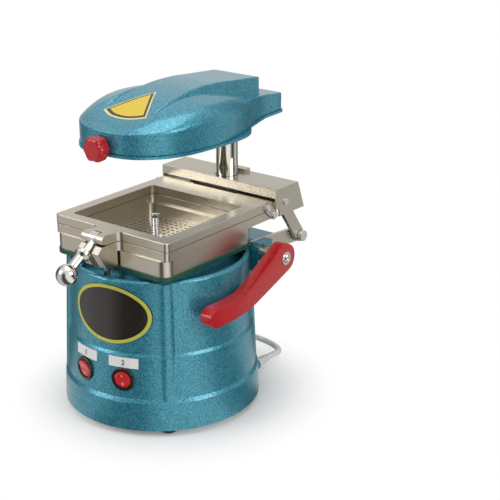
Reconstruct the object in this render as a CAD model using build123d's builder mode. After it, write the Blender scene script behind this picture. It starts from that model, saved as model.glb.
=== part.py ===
from build123d import *
import os
from math import atan, cos, degrees, hypot, pi, radians, sin, tan

os.makedirs("parts", exist_ok=True)

# Dental vacuum former, in millimetres. +Z is up, -Y is the front with the switches and the clamp,
# +X is the lever's side. Heights are measured from the surface that the feet stand on, and plan
# places from the vertical axis of the round base.

# Fits
RUNNING_FIT = 0.05  # radial play of shafts, pins and bushes
SEAT_FIT = 0.05  # radial play of pieces that are seated for good
SIDE_GAP = 0.2  # play along an axle between pieces that turn past each other
LAP = 1.0  # how far shapes that are joined or cut run into each other

# Base casting: three round tiers with sloped ledges between them
TIER1_FOOT_R = 96.2
TIER1_DRAFT = 1.2
LOWER_LEDGE_IN = 2.4
TIER2_DRAFT = 2.3
UPPER_LEDGE_IN = 1.7
TIER3_DRAFT = 1.8
TIER1_TOP_R = TIER1_FOOT_R - TIER1_DRAFT
TIER2_FOOT_R = TIER1_TOP_R - LOWER_LEDGE_IN
TIER2_TOP_R = TIER2_FOOT_R - TIER2_DRAFT
TIER3_FOOT_R = TIER2_TOP_R - UPPER_LEDGE_IN
TIER3_TOP_R = TIER3_FOOT_R - TIER3_DRAFT
BASE_Z = 6.0
TIER1_TOP_Z = 33.0
TIER2_FOOT_Z = 37.0
TIER2_TOP_Z = 78.0
TIER3_FOOT_Z = 81.0
RIM_Z = 151.5
RIM_ROUND = 3.0
RIM_W = 4.3
RIM_INNER_R = TIER3_TOP_R - RIM_W
DECK_Z = 145.0
DECK_T = 6.0
WALL = 4.0
LEDGE_ROUND = 1.2

# Upright ribs on the four diagonals
CORNER_ANGLES = (45, 135, 225, 315)
RIB_R = 9.0
RIB_FOOT_IN = 0.5
RIB_FOOT_OUT = TIER1_TOP_R - RIB_FOOT_IN
RIB_TOP_PROUD = 2.2
RIB_TOP_Z = 149.5

# Feet and bottom plate
FOOT_R = 7.5
FOOT_H = 8.0
FOOT_INSET = 12.2
FOOT_CIRCLE_R = TIER1_FOOT_R - FOOT_INSET
FOOT_STEM_R = 3.0
FOOT_STEM_H = 9.0
FOOT_CHAMFER = 1.2
FOOT_BOSS_R = 8.5
FOOT_BOSS_TOP_Z = 40.0
BOTTOM_T = 2.0
BOTTOM_GAP = 0.4
VENT_R = 4.0
VENT_COUNT = 12
VENT_CIRCLE_R = 62.0

# Forming platform, its gasket and the plinth under them, centred a little to the front
PLATFORM_Y = -6.25
WELL_Y = -4.5
PLINTH_HALF = 58.0
PLINTH_CORNER = 20.0
PLINTH_TOP_Z = 154.5
AIR_BOX_HALF = 48.0
AIR_BOX_CORNER = 8.0
AIR_BOX_FLOOR = 2.0
AIR_HOLE_R = 12.0
GASKET_T = 4.2
GASKET_HALF_X = 71.0
GASKET_HALF_Y = 64.5
GASKET_CORNER = 12.0
PLATFORM_T = 15.3
PLATFORM_HALF_X = 69.7
PLATFORM_HALF_Y = 63.25
PLATFORM_CORNER = 10.0
PLATFORM_FLOOR_T = 1.7
WELL_HALF_X = 57.0
WELL_HALF_Y = 58.0
WELL_CORNER = 6.0
SUCTION_HALF = 52.0
PERFORATED_T = 1.6
PERFORATED_GAP = 0.2
HOLE_R = 1.4
HOLE_PITCH = 6.3
HOLES_EACH_WAY = 17
STUD_FLANGE_R = 7.0
STUD_FLANGE_T = 4.0
STUD_SEAT_T = 0.4
STUD_STEM_R = 2.5
STUD_RING_R = 3.6
STUD_RINGS = 4
STUD_TOP_R = 4.5
STUD_TOP_T = 3.0
STUD_H = 27.0

# Column, its bracket at the back and its nut
COLUMN_Y = 104.8
COLUMN_R = 11.0
COLUMN_TOP_Z = 285.0
BRACKET_HALF_X = 57.0
BRACKET_FRONT_Y = 57.0
BRACKET_BACK_Y = 120.0
BRACKET_BOTTOM_Z = 128.0
BRACKET_CORNER = 8.0
COLUMN_BOSS_R = 19.0
COLUMN_BOSS_BOTTOM_Z = 95.0
COLUMN_BOSS_TOP_Z = 156.0
COLUMN_WEB_HALF = 6.0
COLUMN_THREAD_R = 8.0
COLUMN_THREAD_L = 15.0
COLUMN_NUT_R = 14.0
COLUMN_NUT_T = 11.0

# Lever shaft, its lug and inner boss
SHAFT_Y = 64.5
SHAFT_Z = 147.0
SHAFT_R = 6.0
SHAFT_START_X = 42.0
INNER_BOSS_X = (40.0, 57.0)
INNER_BOSS_HALF_Y = 8.0
INNER_BOSS_TOP_Z = 154.0
LUG_X = (66.0, 76.0)
LUG_FRONT_Y = 56.5
LUG_BACK_Y = 80.0
LUG_BASE_X = 50.0
LUG_BOTTOM_Z = 128.0
LUG_FLOOR_Z = 136.5
LUG_TOP_Z = 156.0
LUG_CORNER = 5.0
CRANK_SLOT_PLAY = 1.0

# Crank arm and link
CRANK_X = (59.5, 63.5)
CRANK_R = 7.5
CRANK_TIP_Y = 138.0
CRANK_TIP_Z = 142.0
CRANK_PIN_R = 3.0
CRANK_PIN_HEAD_R = 5.5
CRANK_PIN_HEAD_T = 4.0
CRANK_PIN_HEAD_GAP = 0.5
CRANK_PIN_SHOULDER_R = 5.0
LINK_X = (64.5, 68.5)
LINK_R = 6.5
LINK_TOP_Y = 105.4
LINK_TOP_Z = 187.5
LINK_PIN_R = 2.5
LINK_PIN_HEAD_R = 3.4
LINK_PIN_HEAD_T = 1.5
LINK_PIN_SPACER_R = 5.0
LINK_PIN_SHOULDER_R = 4.0
LINK_PIN_SHOULDER_T = 1.5
OPEN_PIVOT_PLAY = 1.25

# Lever
HANDLE_X = (89.0, 104.0)
HANDLE_ARM_X = 91.6  # the arm stands off the tiers that it passes
HUB_R = 14.0
HANDLE_CHAMFER = 2.5
SHAFT_COLLAR_R = 8.5
SHAFT_END_X = 100.0
HANDLE_GRIP = ((6.0, 131.0), (-12.0, 128.5), (-42.0, 129.0), (-49.5, 123.5))
HANDLE_UNDER = ((-48.5, 115.5), (-42.0, 110.5), (-12.0, 110.0), (12.0, 113.5))
GRIP_ROUND = 3.0
LEVER_WASHER_R = 6.5
LEVER_WASHER_T = 0.8
LEVER_SCREW_R = 2.0
LEVER_SCREW_HEAD_R = 4.2
LEVER_SCREW_HEAD_T = 2.4
LEVER_SCREW_L = 13.0

# Carriage: lower frame, sheet seal, slider, bush and cover
FRAME_Z = PLINTH_TOP_Z + GASKET_T + PLATFORM_T
LOWER_FRAME_T = 8.6
LOWER_FRAME_HALF_X = 69.8
FRAME_FRONT_Y = -68.2
LOWER_FRAME_BACK_Y = 95.0
FRAME_CORNER = 4.0
WINDOW_HALF_X = 57.5
WINDOW_FRONT_Y = -57.0
WINDOW_BACK_Y = 56.8
WINDOW_CORNER = 4.0
TONGUE_HALF_X = 56.0
TONGUE_BACK_Y = 127.0
SEAL_T = 0.6
SEAL_INSET = 0.7
SEAL_BACK_Y = 80.0
UPPER_FRAME_T = 8.6
UPPER_FRAME_HALF_X = 70.0
UPPER_FRAME_BACK_Y = 87.5
FRAME_EDGE_CHAMFER = 0.6
SLIDER_HALF_X = 26.0
SLIDER_FRONT_Y = 90.9
SLIDER_BACK_Y = 122.0
SLIDER_RELIEF_Y = 84.5
SLIDER_RELIEF_GAP = 2.0
SLIDER_TOP_GAP = 0.5
BUSH_WALL = 1.2
COVER_HALF_X = 73.3
COVER_T = 1.5
COVER_FRONT_Y = 89.4
COVER_H = 20.1
COVER_TOP_BACK_Y = 126.0
COVER_FOOT_BACK_Y = 136.5
COVER_FOOT_UP = 0.5
COVER_LIP_H = 9.1
COVER_NOTCH_R = 6.3
COVER_COLUMN_GAP = 0.8
COVER_TAB_X = (-14.0, 13.0)
COVER_TAB_DEPTH = 8.0
COVER_TAB_T = 3.3
LOCK_SCREW_X = 12.2
LOCK_SCREW_DOWN = 6.7
LOCK_SCREW_R = 2.0
LOCK_SCREW_HEAD_R = 3.6
LOCK_SCREW_HEAD_T = 3.0

# Frame hinge
HINGE_Y = 89.2
HINGE_UP = 3.6
HINGE_PIN_R = 2.2
HINGE_PIN_START_X = 62.0
HINGE_PIN_HEAD_R = 3.6
HINGE_PIN_HEAD_T = 1.5
HINGE_PLATE_T = 1.5
HINGE_PLATE_R = 4.8
HINGE_SCREW_Y = 79.2
HINGE_SCREW_UP = 3.7
HINGE_SCREW_R = 1.5
HINGE_SCREW_L = 8.0
HINGE_SCREW_HEAD_R = 3.0
HINGE_SCREW_HEAD_T = 1.3

# Clamp at the front
LUG_HALF_X = 13.0
FORK_SLOT_HALF = 4.6
FORK_ROOT_Y = -78.0
FORK_FILLET = 5.0
CLAMP_Y = -85.4
CLAMP_UP = 4.2
UPPER_FORK_R = 5.6
CLAMP_PIN_R = 2.5
CLAMP_PIN_HALF = 11.5
LOWER_LUG_FRONT = ((-91.0, 0.0), (-96.7, -5.8), (-86.3, -21.9), (-83.0, -24.1))
LOWER_LUG_BACK_Y = -71.3
BOLT_EYE_R = 6.0
BOLT_EYE_HALF = 4.4
BOLT_SHANK_R = 3.5
BOLT_L = 42.0
BOLT_SLOPE = 32.6
BALL_R = 10.1
BALL_AT = 44.7
BALL_COLLAR_AT = 18.3
BALL_COLLAR_T = 6.0
BALL_COLLAR_R = 8.0
BALL_NECK_R = 5.5
GUIDE_PIN_X = 2.0
GUIDE_PIN_Y = -75.0
GUIDE_PIN_R = 3.0
GUIDE_PIN_BOTTOM_Z = 100.0
GUIDE_BOSS_R = 6.5
GUIDE_BOSS_BOTTOM_Z = 132.0

# Suction motor under the deck
HOUSING_R = 52.0
HOUSING_T = 2.0
HOUSING_H = 24.0
HOUSING_PORT_R = 9.0
IMPELLER_R = 45.0
IMPELLER_T = 14.0
IMPELLER_FLOOR_GAP = 2.0
IMPELLER_DISC_T = 2.0
IMPELLER_HUB_R = 9.0
IMPELLER_BLADES = 12
BLADE_T = 1.6
BLADE_INNER_R = 16.0
SHAFT_TOP_GAP = 2.0
SHAFT_FOOT_GAP = 0.5
MOTOR_R = 48.0
MOTOR_H = 70.0
MOTOR_T = 2.0
MOTOR_SHAFT_R = 4.0
MOTOR_BEARING_R = 9.0
MOTOR_BEARING_H = 8.0
ROTOR_R = 28.0
ROTOR_H = 34.0

# Switches, their labels and the badge
SWITCH_ANGLES = (-100.3, -71.7)
SWITCH_HEIGHTS = (55.0, 55.5)
SWITCH_SEAT_OUT = 0.7
SWITCH_SEAT_R = TIER2_TOP_R + SWITCH_SEAT_OUT
BEZEL_R = 11.5
BEZEL_T = 2.4
BEZEL_ROUND = 1.0
SPOT_FACE_GAP = 0.5
SWITCH_BORE_L = 12.0
BARREL_R = 10.0
BARREL_L = 18.0
BARREL_FLOOR_T = 2.0
ROCKER_R = 8.4
ROCKER_GAP = 0.4
ROCKER_PIVOT_OUT = 0.8
ROCKER_PROUD = 2.6
ROCKER_DEPTH = 4.5
ROCKER_TILT = 10.0
ROCKER_AXLE_R = 0.8
ROCKER_AXLE_HALF = 9.6
LABEL_ANGLES = (-99.3, -71.5)
LABEL_W = 30.0
LABEL_H = 10.0
LABEL_FOOT_Z = 67.0
LABEL_T = 0.5
BADGE_ANGLE = -81.0
BADGE_Z = 117.5
BADGE_HALF_W = 43.0
BADGE_HALF_H = 28.5
BADGE_T = 1.2

# Heater head, which swings about the column
HEAD_Z = 262.0
HEAD_RIM_T = 2.5
HEAD_RIM_PROUD = 1.0
HEAD_SIDE = ((29.0, -66.8), (53.5, -43.6), (65.0, 15.0), (50.0, 78.0), (24.0, 110.0))
HEAD_FRONT_Y = -71.5
HEAD_OVAL_BACK_Y = 118.0
HEAD_WALL = 3.5
SHOULDER_Z = 285.0
SHOULDER_IN = 14.0
ROOF_Y = 25.0
ROOF_CREST_Z = 309.0
ROOF_LONG_R = 176.8
ROOF_ARCH_R = 200.0
ROOF_BOTTOM_Z = 220.0
ROOF_HALF_X = 74.0
HEAD_TAIL_NECK = (46.0, 84.0)
HEAD_TAIL_WAIST = (35.0, 120.0)
HEAD_TAIL_HALF = 32.0
HEAD_TAIL_Y = 157.0
HEAD_TAIL_ROUND = 7.0
HEAD_TAIL_TOP_Z = 290.0
HEAD_TAIL_END_Z = 281.0
BAND_HALF_X = 27.0
BAND_TOP = (
    (-68.0, 281.6),
    (-50.0, 288.5),
    (-36.0, 294.0),
    (-10.0, 303.0),
    (18.0, 307.6),
    (50.0, 308.5),
    (84.0, 306.0),
    (121.0, 303.0),
)
BAND_FOOT_Z = 270.0
BAND_CLEARANCE = 40.0
HEAD_CAVITY_BACK_Y = 78.0
HEAD_BUSH_WALL = 2.5
HEAD_TOP_GAP = 0.3
MOUTH_Y = -4.0
MOUTH_R = 52.0
REFLECTOR_LAP = 3.0
REFLECTOR_T = 1.5
REFLECTOR_H = 13.0
COIL_R = 2.2
COIL_RUNS = 6
COIL_PITCH = 13.0
COIL_BEND_GAP = 0.1
COIL_HALF_L = 33.0
COIL_Z = 270.0
INSULATOR_R = 3.2
KNOB_Z = 269.4
KNOB_R = 9.6
KNOB_LOBES = 6
KNOB_LOBE_R = 4.0
KNOB_GAP = 1.5
KNOB_T = 13.0
KNOB_ROUND = 2.2
KNOB_STEM_R = 3.0
KNOB_STEM_L = 6.0
PLATE_T = 0.5
PLATE_HALF_X = 26.2
PLATE_CORNER_Y = -42.0
PLATE_BOW_Y = -50.0
PLATE_APEX_Y = 1.5

# Mains cord, lying on the surface that the feet stand on
CORD_R = 3.0
BEND_SHARE = 0.45  # the share of its shorter neighbour run that each bend takes
CORD_X = 52.0
CORD_EXIT_Z = 12.5
CORD_BOSS_R = 6.4
CORD_BOSS_Y = 85.5
CORD_BOSS_L = 5.5
RELIEF_FLANGE_R = 6.0
RELIEF_FLANGE_T = 2.0
RELIEF_R = 5.0
RELIEF_L = 20.0
RELIEF_TIP_T = 0.4
CORD_ROUTE = (
    (52.0, 105.5, 12.5),
    (52.0, 113.5, 12.5),
    (50.9, 123.0, 10.8),
    (46.0, 134.0, 7.4),
    (36.0, 144.5, 4.6),
    (21.5, 151.8, 3.4),
    (2.5, 155.0, 3.0),
    (-18.0, 156.8, 3.0),
    (-39.0, 157.6, 3.0),
    (-59.8, 157.3, 3.0),
    (-74.5, 156.0, 3.0),
    (-88.0, 152.8, 3.0),
    (-104.8, 147.6, 3.0),
)
COIL_CENTRE = (-93.4, 113.5)
COIL_TURN_R = 33.0
COIL_COLUMNS = 2
COIL_ROWS = 3
TAIL_ROUTE = ((-67.9, 88.0, 9.0), (-56.0, 99.9, 9.0), (-43.0, 108.5, 9.0))
PLUG_L = 34.0
PLUG_HALF_W = 13.0
PLUG_HALF_H = 9.0
PLUG_NECK_HALF = 6.0
PLUG_NECK_L = 9.0
PLUG_ROUND = 3.0
PLUG_PIN_R = 2.4
PLUG_PIN_L = 19.0
PLUG_PIN_SPACING = 19.0

# Heights that follow from the stack
BOTTOM_Z = FOOT_H
GASKET_TOP_Z = PLINTH_TOP_Z + GASKET_T
WELL_FLOOR_Z = GASKET_TOP_Z + PLATFORM_FLOOR_T
PERFORATED_TOP_Z = WELL_FLOOR_Z + PERFORATED_T
LOWER_FRAME_TOP_Z = FRAME_Z + LOWER_FRAME_T
UPPER_FRAME_Z = LOWER_FRAME_TOP_Z + SEAL_T
UPPER_FRAME_TOP_Z = UPPER_FRAME_Z + UPPER_FRAME_T
COVER_TOP_Z = LOWER_FRAME_TOP_Z + COVER_H
COVER_FOOT_Z = FRAME_Z + COVER_FOOT_UP
COVER_LIP_Z = COVER_TOP_Z - COVER_LIP_H
SLIDER_TOP_Z = COVER_TOP_Z - COVER_T - SLIDER_TOP_GAP
LOCK_SCREW_Z = COVER_TOP_Z - LOCK_SCREW_DOWN
HINGE_Z = FRAME_Z + HINGE_UP
HINGE_SCREW_Z = UPPER_FRAME_Z + HINGE_SCREW_UP
CLAMP_Z = UPPER_FRAME_Z + CLAMP_UP
HOUSING_TOP_Z = DECK_Z - DECK_T
HOUSING_Z = HOUSING_TOP_Z - HOUSING_H
MOTOR_Z = HOUSING_Z - MOTOR_H
HEAD_SHELL_Z = HEAD_Z + HEAD_RIM_T
HEAD_CEILING_Z = COLUMN_TOP_Z + HEAD_TOP_GAP

# Reaches to the sides, which put the origin under the middle of the whole former
LEVER_REACH_X = HANDLE_X[1] + LEVER_WASHER_T + LEVER_SCREW_HEAD_T
BOLT_OUT = (-cos(radians(BOLT_SLOPE)), -sin(radians(BOLT_SLOPE)))
BALL_FRONT_Y = CLAMP_Y + BALL_AT * BOLT_OUT[0] - BALL_R
AXIS_X = (TIER1_FOOT_R - LEVER_REACH_X) / 2
AXIS_Y = -(BALL_FRONT_Y + HEAD_TAIL_Y + HEAD_RIM_PROUD) / 2


def level(z, x=0.0, y=0.0):
    """A level plane at a height, centred on a plan place of the base's axis frame."""
    return Plane(origin=(AXIS_X + x, AXIS_Y + y, z))


def side(x):
    """An upright plane across X, drawn in (Y, Z), that extrudes to +X."""
    return Plane(origin=(AXIS_X + x, AXIS_Y, 0), x_dir=(0, 1, 0), z_dir=(1, 0, 0))


def facing(y):
    """An upright plane across Y, drawn in (X, Z), that extrudes to -Y."""
    return Plane(origin=(AXIS_X, AXIS_Y + y, 0), x_dir=(1, 0, 0), z_dir=(0, -1, 0))


def radial(angle):
    """An upright plane through the base's axis, drawn in (radius, Z)."""
    direction = (cos(radians(angle)), sin(radians(angle)), 0)
    return Plane(origin=(AXIS_X, AXIS_Y, 0), x_dir=direction, z_dir=(direction[1], -direction[0], 0))


def outward(angle, reach, z):
    """An upright plane at a reach from the axis, facing outward, with its x level."""
    direction = (cos(radians(angle)), sin(radians(angle)), 0)
    origin = (AXIS_X + reach * direction[0], AXIS_Y + reach * direction[1], z)
    return Plane(origin=origin, x_dir=(-direction[1], direction[0], 0), z_dir=direction)


def rod(plane, radius, length, mode=Mode.ADD):
    """A round bar that stands on a plane, added to or cut from the part being built."""
    with Locations(plane):
        Cylinder(radius, length, align=(Align.CENTER, Align.CENTER, Align.MIN), mode=mode)


def cross_rod(x_start, x_end, y, z, radius, mode=Mode.ADD):
    """A round bar along X between two places, at a point of the (Y, Z) plane."""
    start = Plane(origin=(AXIS_X + x_start, AXIS_Y + y, z), x_dir=(0, 1, 0), z_dir=(1, 0, 0))
    rod(start, radius, x_end - x_start, mode)


def block(x, y, z, mode=Mode.ADD):
    """A box between two values on each axis, in the base's axis frame."""
    with Locations((AXIS_X + x[0], AXIS_Y + y[0], z[0])):
        Box(x[1] - x[0], y[1] - y[0], z[1] - z[0], align=(Align.MIN, Align.MIN, Align.MIN), mode=mode)


def axis_point(point):
    """A point of the base's axis frame, in the part's own frame."""
    return Vector(AXIS_X + point[0], AXIS_Y + point[1], point[2])


def bar(x, first, second, radius):
    """A flat bar with round ends, between two places along X, about two points of the (Y, Z) plane."""
    cross_rod(*x, *first, radius)
    cross_rod(*x, *second, radius)
    run = (0, second[0] - first[0], second[1] - first[1])
    with Locations(Plane(origin=axis_point((x[0], *first)), x_dir=run, z_dir=(1, 0, 0))):
        Box(hypot(*run), 2 * radius, x[1] - x[0], align=(Align.MIN, Align.CENTER, Align.MIN))


def save(node, name):
    """Labels a finished piece and writes it under its own name."""
    node.part.label = name
    export_step(node.part, f"parts/{name}.step")


BODY_AXIS = Axis((AXIS_X, AXIS_Y, 0), (0, 0, 1))

# --- Base casting: revolved shell, ribs, plinth, column bracket, lever lug and small bosses ---

with BuildPart() as base_shell:
    with BuildSketch(radial(0)) as tiers:
        with BuildLine():
            Polyline(
                (0, DECK_Z),
                (RIM_INNER_R, DECK_Z),
                (RIM_INNER_R, RIM_Z),
                (TIER3_TOP_R, RIM_Z),
                (TIER3_FOOT_R, TIER3_FOOT_Z),
                (TIER2_TOP_R, TIER2_TOP_Z),
                (TIER2_FOOT_R, TIER2_FOOT_Z),
                (TIER1_TOP_R, TIER1_TOP_Z),
                (TIER1_FOOT_R, BASE_Z),
                (TIER1_FOOT_R - WALL, BASE_Z),
                (TIER1_TOP_R - WALL, TIER1_TOP_Z),
                (TIER2_FOOT_R - WALL, TIER2_FOOT_Z),
                (TIER2_TOP_R - WALL, TIER2_TOP_Z),
                (TIER3_FOOT_R - WALL, TIER3_FOOT_Z),
                (TIER3_TOP_R - WALL, DECK_Z - DECK_T),
                (0, DECK_Z - DECK_T),
                close=True,
            )
        make_face()
        rim_corner = [v for v in tiers.vertices() if v.Y > RIM_Z - LAP and v.X > TIER3_TOP_R - LAP]
        fillet(rim_corner, RIM_ROUND)
        ledge_corners = [v for v in tiers.vertices() if v.X > TIER2_TOP_R - LAP and v.Y > TIER1_TOP_Z - LAP]
        fillet(ledge_corners, LEDGE_ROUND)
    revolve(axis=BODY_AXIS)

    for angle in CORNER_ANGLES:
        for reach, z in ((RIB_FOOT_OUT, TIER1_TOP_Z), (TIER3_TOP_R + RIB_TOP_PROUD, RIB_TOP_Z)):
            at = reach - RIB_R
            with BuildSketch(level(z, at * cos(radians(angle)), at * sin(radians(angle)))):
                Circle(RIB_R)
        loft()
    rod(level(DECK_Z), RIM_INNER_R, RIM_Z - DECK_Z, Mode.SUBTRACT)

    for angle in CORNER_ANGLES:
        x = FOOT_CIRCLE_R * cos(radians(angle))
        y = FOOT_CIRCLE_R * sin(radians(angle))
        boss_z = BOTTOM_Z + BOTTOM_T
        rod(level(boss_z, x, y), FOOT_BOSS_R, FOOT_BOSS_TOP_Z - boss_z)
        rod(level(boss_z, x, y), FOOT_STEM_R + SEAT_FIT, FOOT_STEM_H, Mode.SUBTRACT)

    with BuildSketch(level(DECK_Z, 0, PLATFORM_Y)):
        RectangleRounded(2 * PLINTH_HALF, 2 * PLINTH_HALF, PLINTH_CORNER)
    extrude(amount=PLINTH_TOP_Z - DECK_Z)
    with BuildSketch(level(DECK_Z + AIR_BOX_FLOOR, 0, WELL_Y)):
        RectangleRounded(2 * AIR_BOX_HALF, 2 * AIR_BOX_HALF, AIR_BOX_CORNER)
    extrude(amount=PLINTH_TOP_Z - DECK_Z, mode=Mode.SUBTRACT)
    rod(level(DECK_Z - DECK_T, 0, WELL_Y), AIR_HOLE_R, DECK_T + AIR_BOX_FLOOR, Mode.SUBTRACT)

    with BuildSketch(level(BRACKET_BOTTOM_Z)) as bracket:
        with BuildLine():
            Polyline(
                (-BRACKET_HALF_X, BRACKET_FRONT_Y),
                (BRACKET_HALF_X, BRACKET_FRONT_Y),
                (BRACKET_HALF_X, BRACKET_BACK_Y),
                (-BRACKET_HALF_X, BRACKET_BACK_Y),
                close=True,
            )
        make_face()
        fillet(bracket.vertices().sort_by(Axis.Y)[-2:], BRACKET_CORNER)
    extrude(amount=DECK_Z - BRACKET_BOTTOM_Z)
    rod(level(COLUMN_BOSS_BOTTOM_Z, 0, COLUMN_Y), COLUMN_BOSS_R, COLUMN_BOSS_TOP_Z - COLUMN_BOSS_BOTTOM_Z)
    web_x = (-COLUMN_WEB_HALF, COLUMN_WEB_HALF)
    block(web_x, (TIER3_FOOT_R - WALL, COLUMN_Y), (COLUMN_BOSS_BOTTOM_Z, BRACKET_BOTTOM_Z))
    column_bore = COLUMN_R + SEAT_FIT
    column_seat_z = COLUMN_BOSS_BOTTOM_Z + COLUMN_THREAD_L - COLUMN_NUT_T
    rod(level(column_seat_z, 0, COLUMN_Y), column_bore, RIM_Z, Mode.SUBTRACT)
    rod(level(0, 0, COLUMN_Y), COLUMN_THREAD_R + SEAT_FIT, RIM_Z, Mode.SUBTRACT)

    block((LUG_BASE_X, LUG_X[1]), (LUG_FRONT_Y, LUG_BACK_Y), (LUG_BOTTOM_Z, LUG_FLOOR_Z))
    with BuildSketch(side(LUG_X[0])) as lug:
        with BuildLine():
            Polyline(
                (LUG_FRONT_Y, LUG_BOTTOM_Z),
                (LUG_BACK_Y, LUG_BOTTOM_Z),
                (LUG_BACK_Y, LUG_TOP_Z),
                (LUG_FRONT_Y, LUG_TOP_Z),
                close=True,
            )
        make_face()
        fillet(lug.vertices().sort_by(Axis.Z)[-2:], LUG_CORNER)
    extrude(amount=LUG_X[1] - LUG_X[0])
    inner_boss_y = (SHAFT_Y - INNER_BOSS_HALF_Y, SHAFT_Y + INNER_BOSS_HALF_Y)
    block(INNER_BOSS_X, inner_boss_y, (DECK_Z - DECK_T, INNER_BOSS_TOP_Z))
    slot_x = (CRANK_X[0] - CRANK_SLOT_PLAY * 2, LUG_X[0])
    slot_y = (SHAFT_Y - CRANK_R - CRANK_SLOT_PLAY, BRACKET_BACK_Y)
    block(slot_x, slot_y, (LUG_FLOOR_Z, RIM_Z + DECK_T), Mode.SUBTRACT)
    shaft_bore = SHAFT_R + RUNNING_FIT
    cross_rod(SHAFT_START_X - LAP, LUG_X[1], SHAFT_Y, SHAFT_Z, shaft_bore, Mode.SUBTRACT)

    rod(level(GUIDE_BOSS_BOTTOM_Z, GUIDE_PIN_X, GUIDE_PIN_Y), GUIDE_BOSS_R, DECK_Z - GUIDE_BOSS_BOTTOM_Z)
    guide_bore = GUIDE_PIN_R + RUNNING_FIT
    rod(level(GUIDE_BOSS_BOTTOM_Z, GUIDE_PIN_X, GUIDE_PIN_Y), guide_bore, RIM_Z, Mode.SUBTRACT)

    cord_exit = Plane(origin=axis_point((CORD_X, CORD_BOSS_Y, CORD_EXIT_Z)), x_dir=(1, 0, 0), z_dir=(0, -1, 0))
    rod(cord_exit, CORD_BOSS_R, CORD_BOSS_L)
    rod(cord_exit, CORD_R + SEAT_FIT, 4 * CORD_BOSS_L, Mode.SUBTRACT)

    for angle, z in zip(SWITCH_ANGLES, SWITCH_HEIGHTS):
        rod(outward(angle, SWITCH_SEAT_R, z), BEZEL_R + SPOT_FACE_GAP, WALL, Mode.SUBTRACT)
        barrel_bore = outward(angle, SWITCH_SEAT_R - SWITCH_BORE_L, z)
        rod(barrel_bore, BARREL_R + SEAT_FIT, SWITCH_BORE_L + WALL, Mode.SUBTRACT)
save(base_shell, "base_shell")

# --- Bottom plate and feet ---

with BuildPart() as bottom_plate:
    slope = (TIER1_FOOT_R - TIER1_TOP_R) / (TIER1_TOP_Z - BASE_Z)
    inner_r = TIER1_FOOT_R - WALL - slope * (BOTTOM_Z + BOTTOM_T - BASE_Z)
    rod(level(BOTTOM_Z), inner_r - BOTTOM_GAP, BOTTOM_T)
    with Locations(level(BOTTOM_Z)):
        with PolarLocations(VENT_CIRCLE_R, VENT_COUNT):
            Cylinder(VENT_R, 3 * BOTTOM_T, mode=Mode.SUBTRACT)
    for angle in CORNER_ANGLES:
        x = FOOT_CIRCLE_R * cos(radians(angle))
        y = FOOT_CIRCLE_R * sin(radians(angle))
        rod(level(BOTTOM_Z, x, y), FOOT_STEM_R + SEAT_FIT, BOTTOM_T, Mode.SUBTRACT)
save(bottom_plate, "bottom_plate")

for number, angle in enumerate(CORNER_ANGLES, start=1):
    x = FOOT_CIRCLE_R * cos(radians(angle))
    y = FOOT_CIRCLE_R * sin(radians(angle))
    with BuildPart() as foot:
        rod(level(0, x, y), FOOT_R, FOOT_H)
        chamfer(foot.edges().group_by(Axis.Z)[0], FOOT_CHAMFER)
        rod(level(FOOT_H, x, y), FOOT_STEM_R, FOOT_STEM_H)
    save(foot, f"foot_{number}")

# --- Gasket, forming platform, perforated plate and centre stud ---

with BuildPart() as platform_gasket:
    with BuildSketch(level(PLINTH_TOP_Z, 0, PLATFORM_Y)):
        RectangleRounded(2 * GASKET_HALF_X, 2 * GASKET_HALF_Y, GASKET_CORNER)
    extrude(amount=GASKET_T)
    with BuildSketch(level(PLINTH_TOP_Z, 0, WELL_Y)):
        RectangleRounded(2 * SUCTION_HALF, 2 * SUCTION_HALF, WELL_CORNER)
    extrude(amount=GASKET_T, mode=Mode.SUBTRACT)
save(platform_gasket, "platform_gasket")

with BuildPart() as forming_platform:
    with BuildSketch(level(GASKET_TOP_Z, 0, PLATFORM_Y)):
        RectangleRounded(2 * PLATFORM_HALF_X, 2 * PLATFORM_HALF_Y, PLATFORM_CORNER)
    extrude(amount=PLATFORM_T)
    with BuildSketch(level(WELL_FLOOR_Z, 0, WELL_Y)):
        RectangleRounded(2 * WELL_HALF_X, 2 * WELL_HALF_Y, WELL_CORNER)
    extrude(amount=PLATFORM_T, mode=Mode.SUBTRACT)
    with BuildSketch(level(GASKET_TOP_Z, 0, WELL_Y)):
        RectangleRounded(2 * SUCTION_HALF, 2 * SUCTION_HALF, WELL_CORNER)
    extrude(amount=PLATFORM_FLOOR_T, mode=Mode.SUBTRACT)
save(forming_platform, "forming_platform")

stud_seat_z = PERFORATED_TOP_Z - STUD_SEAT_T

with BuildPart() as perforated_plate:
    with BuildSketch(level(WELL_FLOOR_Z, 0, WELL_Y)):
        plate_x = 2 * (WELL_HALF_X - PERFORATED_GAP)
        plate_y = 2 * (WELL_HALF_Y - PERFORATED_GAP)
        RectangleRounded(plate_x, plate_y, WELL_CORNER - PERFORATED_GAP)
        with GridLocations(HOLE_PITCH, HOLE_PITCH, HOLES_EACH_WAY, HOLES_EACH_WAY) as grid:
            spots = [spot.position for spot in grid.local_locations]
        stud_clear = STUD_FLANGE_R + HOLE_R
        with Locations([spot for spot in spots if hypot(spot.X, spot.Y) > stud_clear]):
            Circle(HOLE_R, mode=Mode.SUBTRACT)
    extrude(amount=PERFORATED_T)
    rod(level(stud_seat_z, 0, WELL_Y), STUD_FLANGE_R + SEAT_FIT, STUD_SEAT_T, Mode.SUBTRACT)
save(perforated_plate, "perforated_plate")

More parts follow.
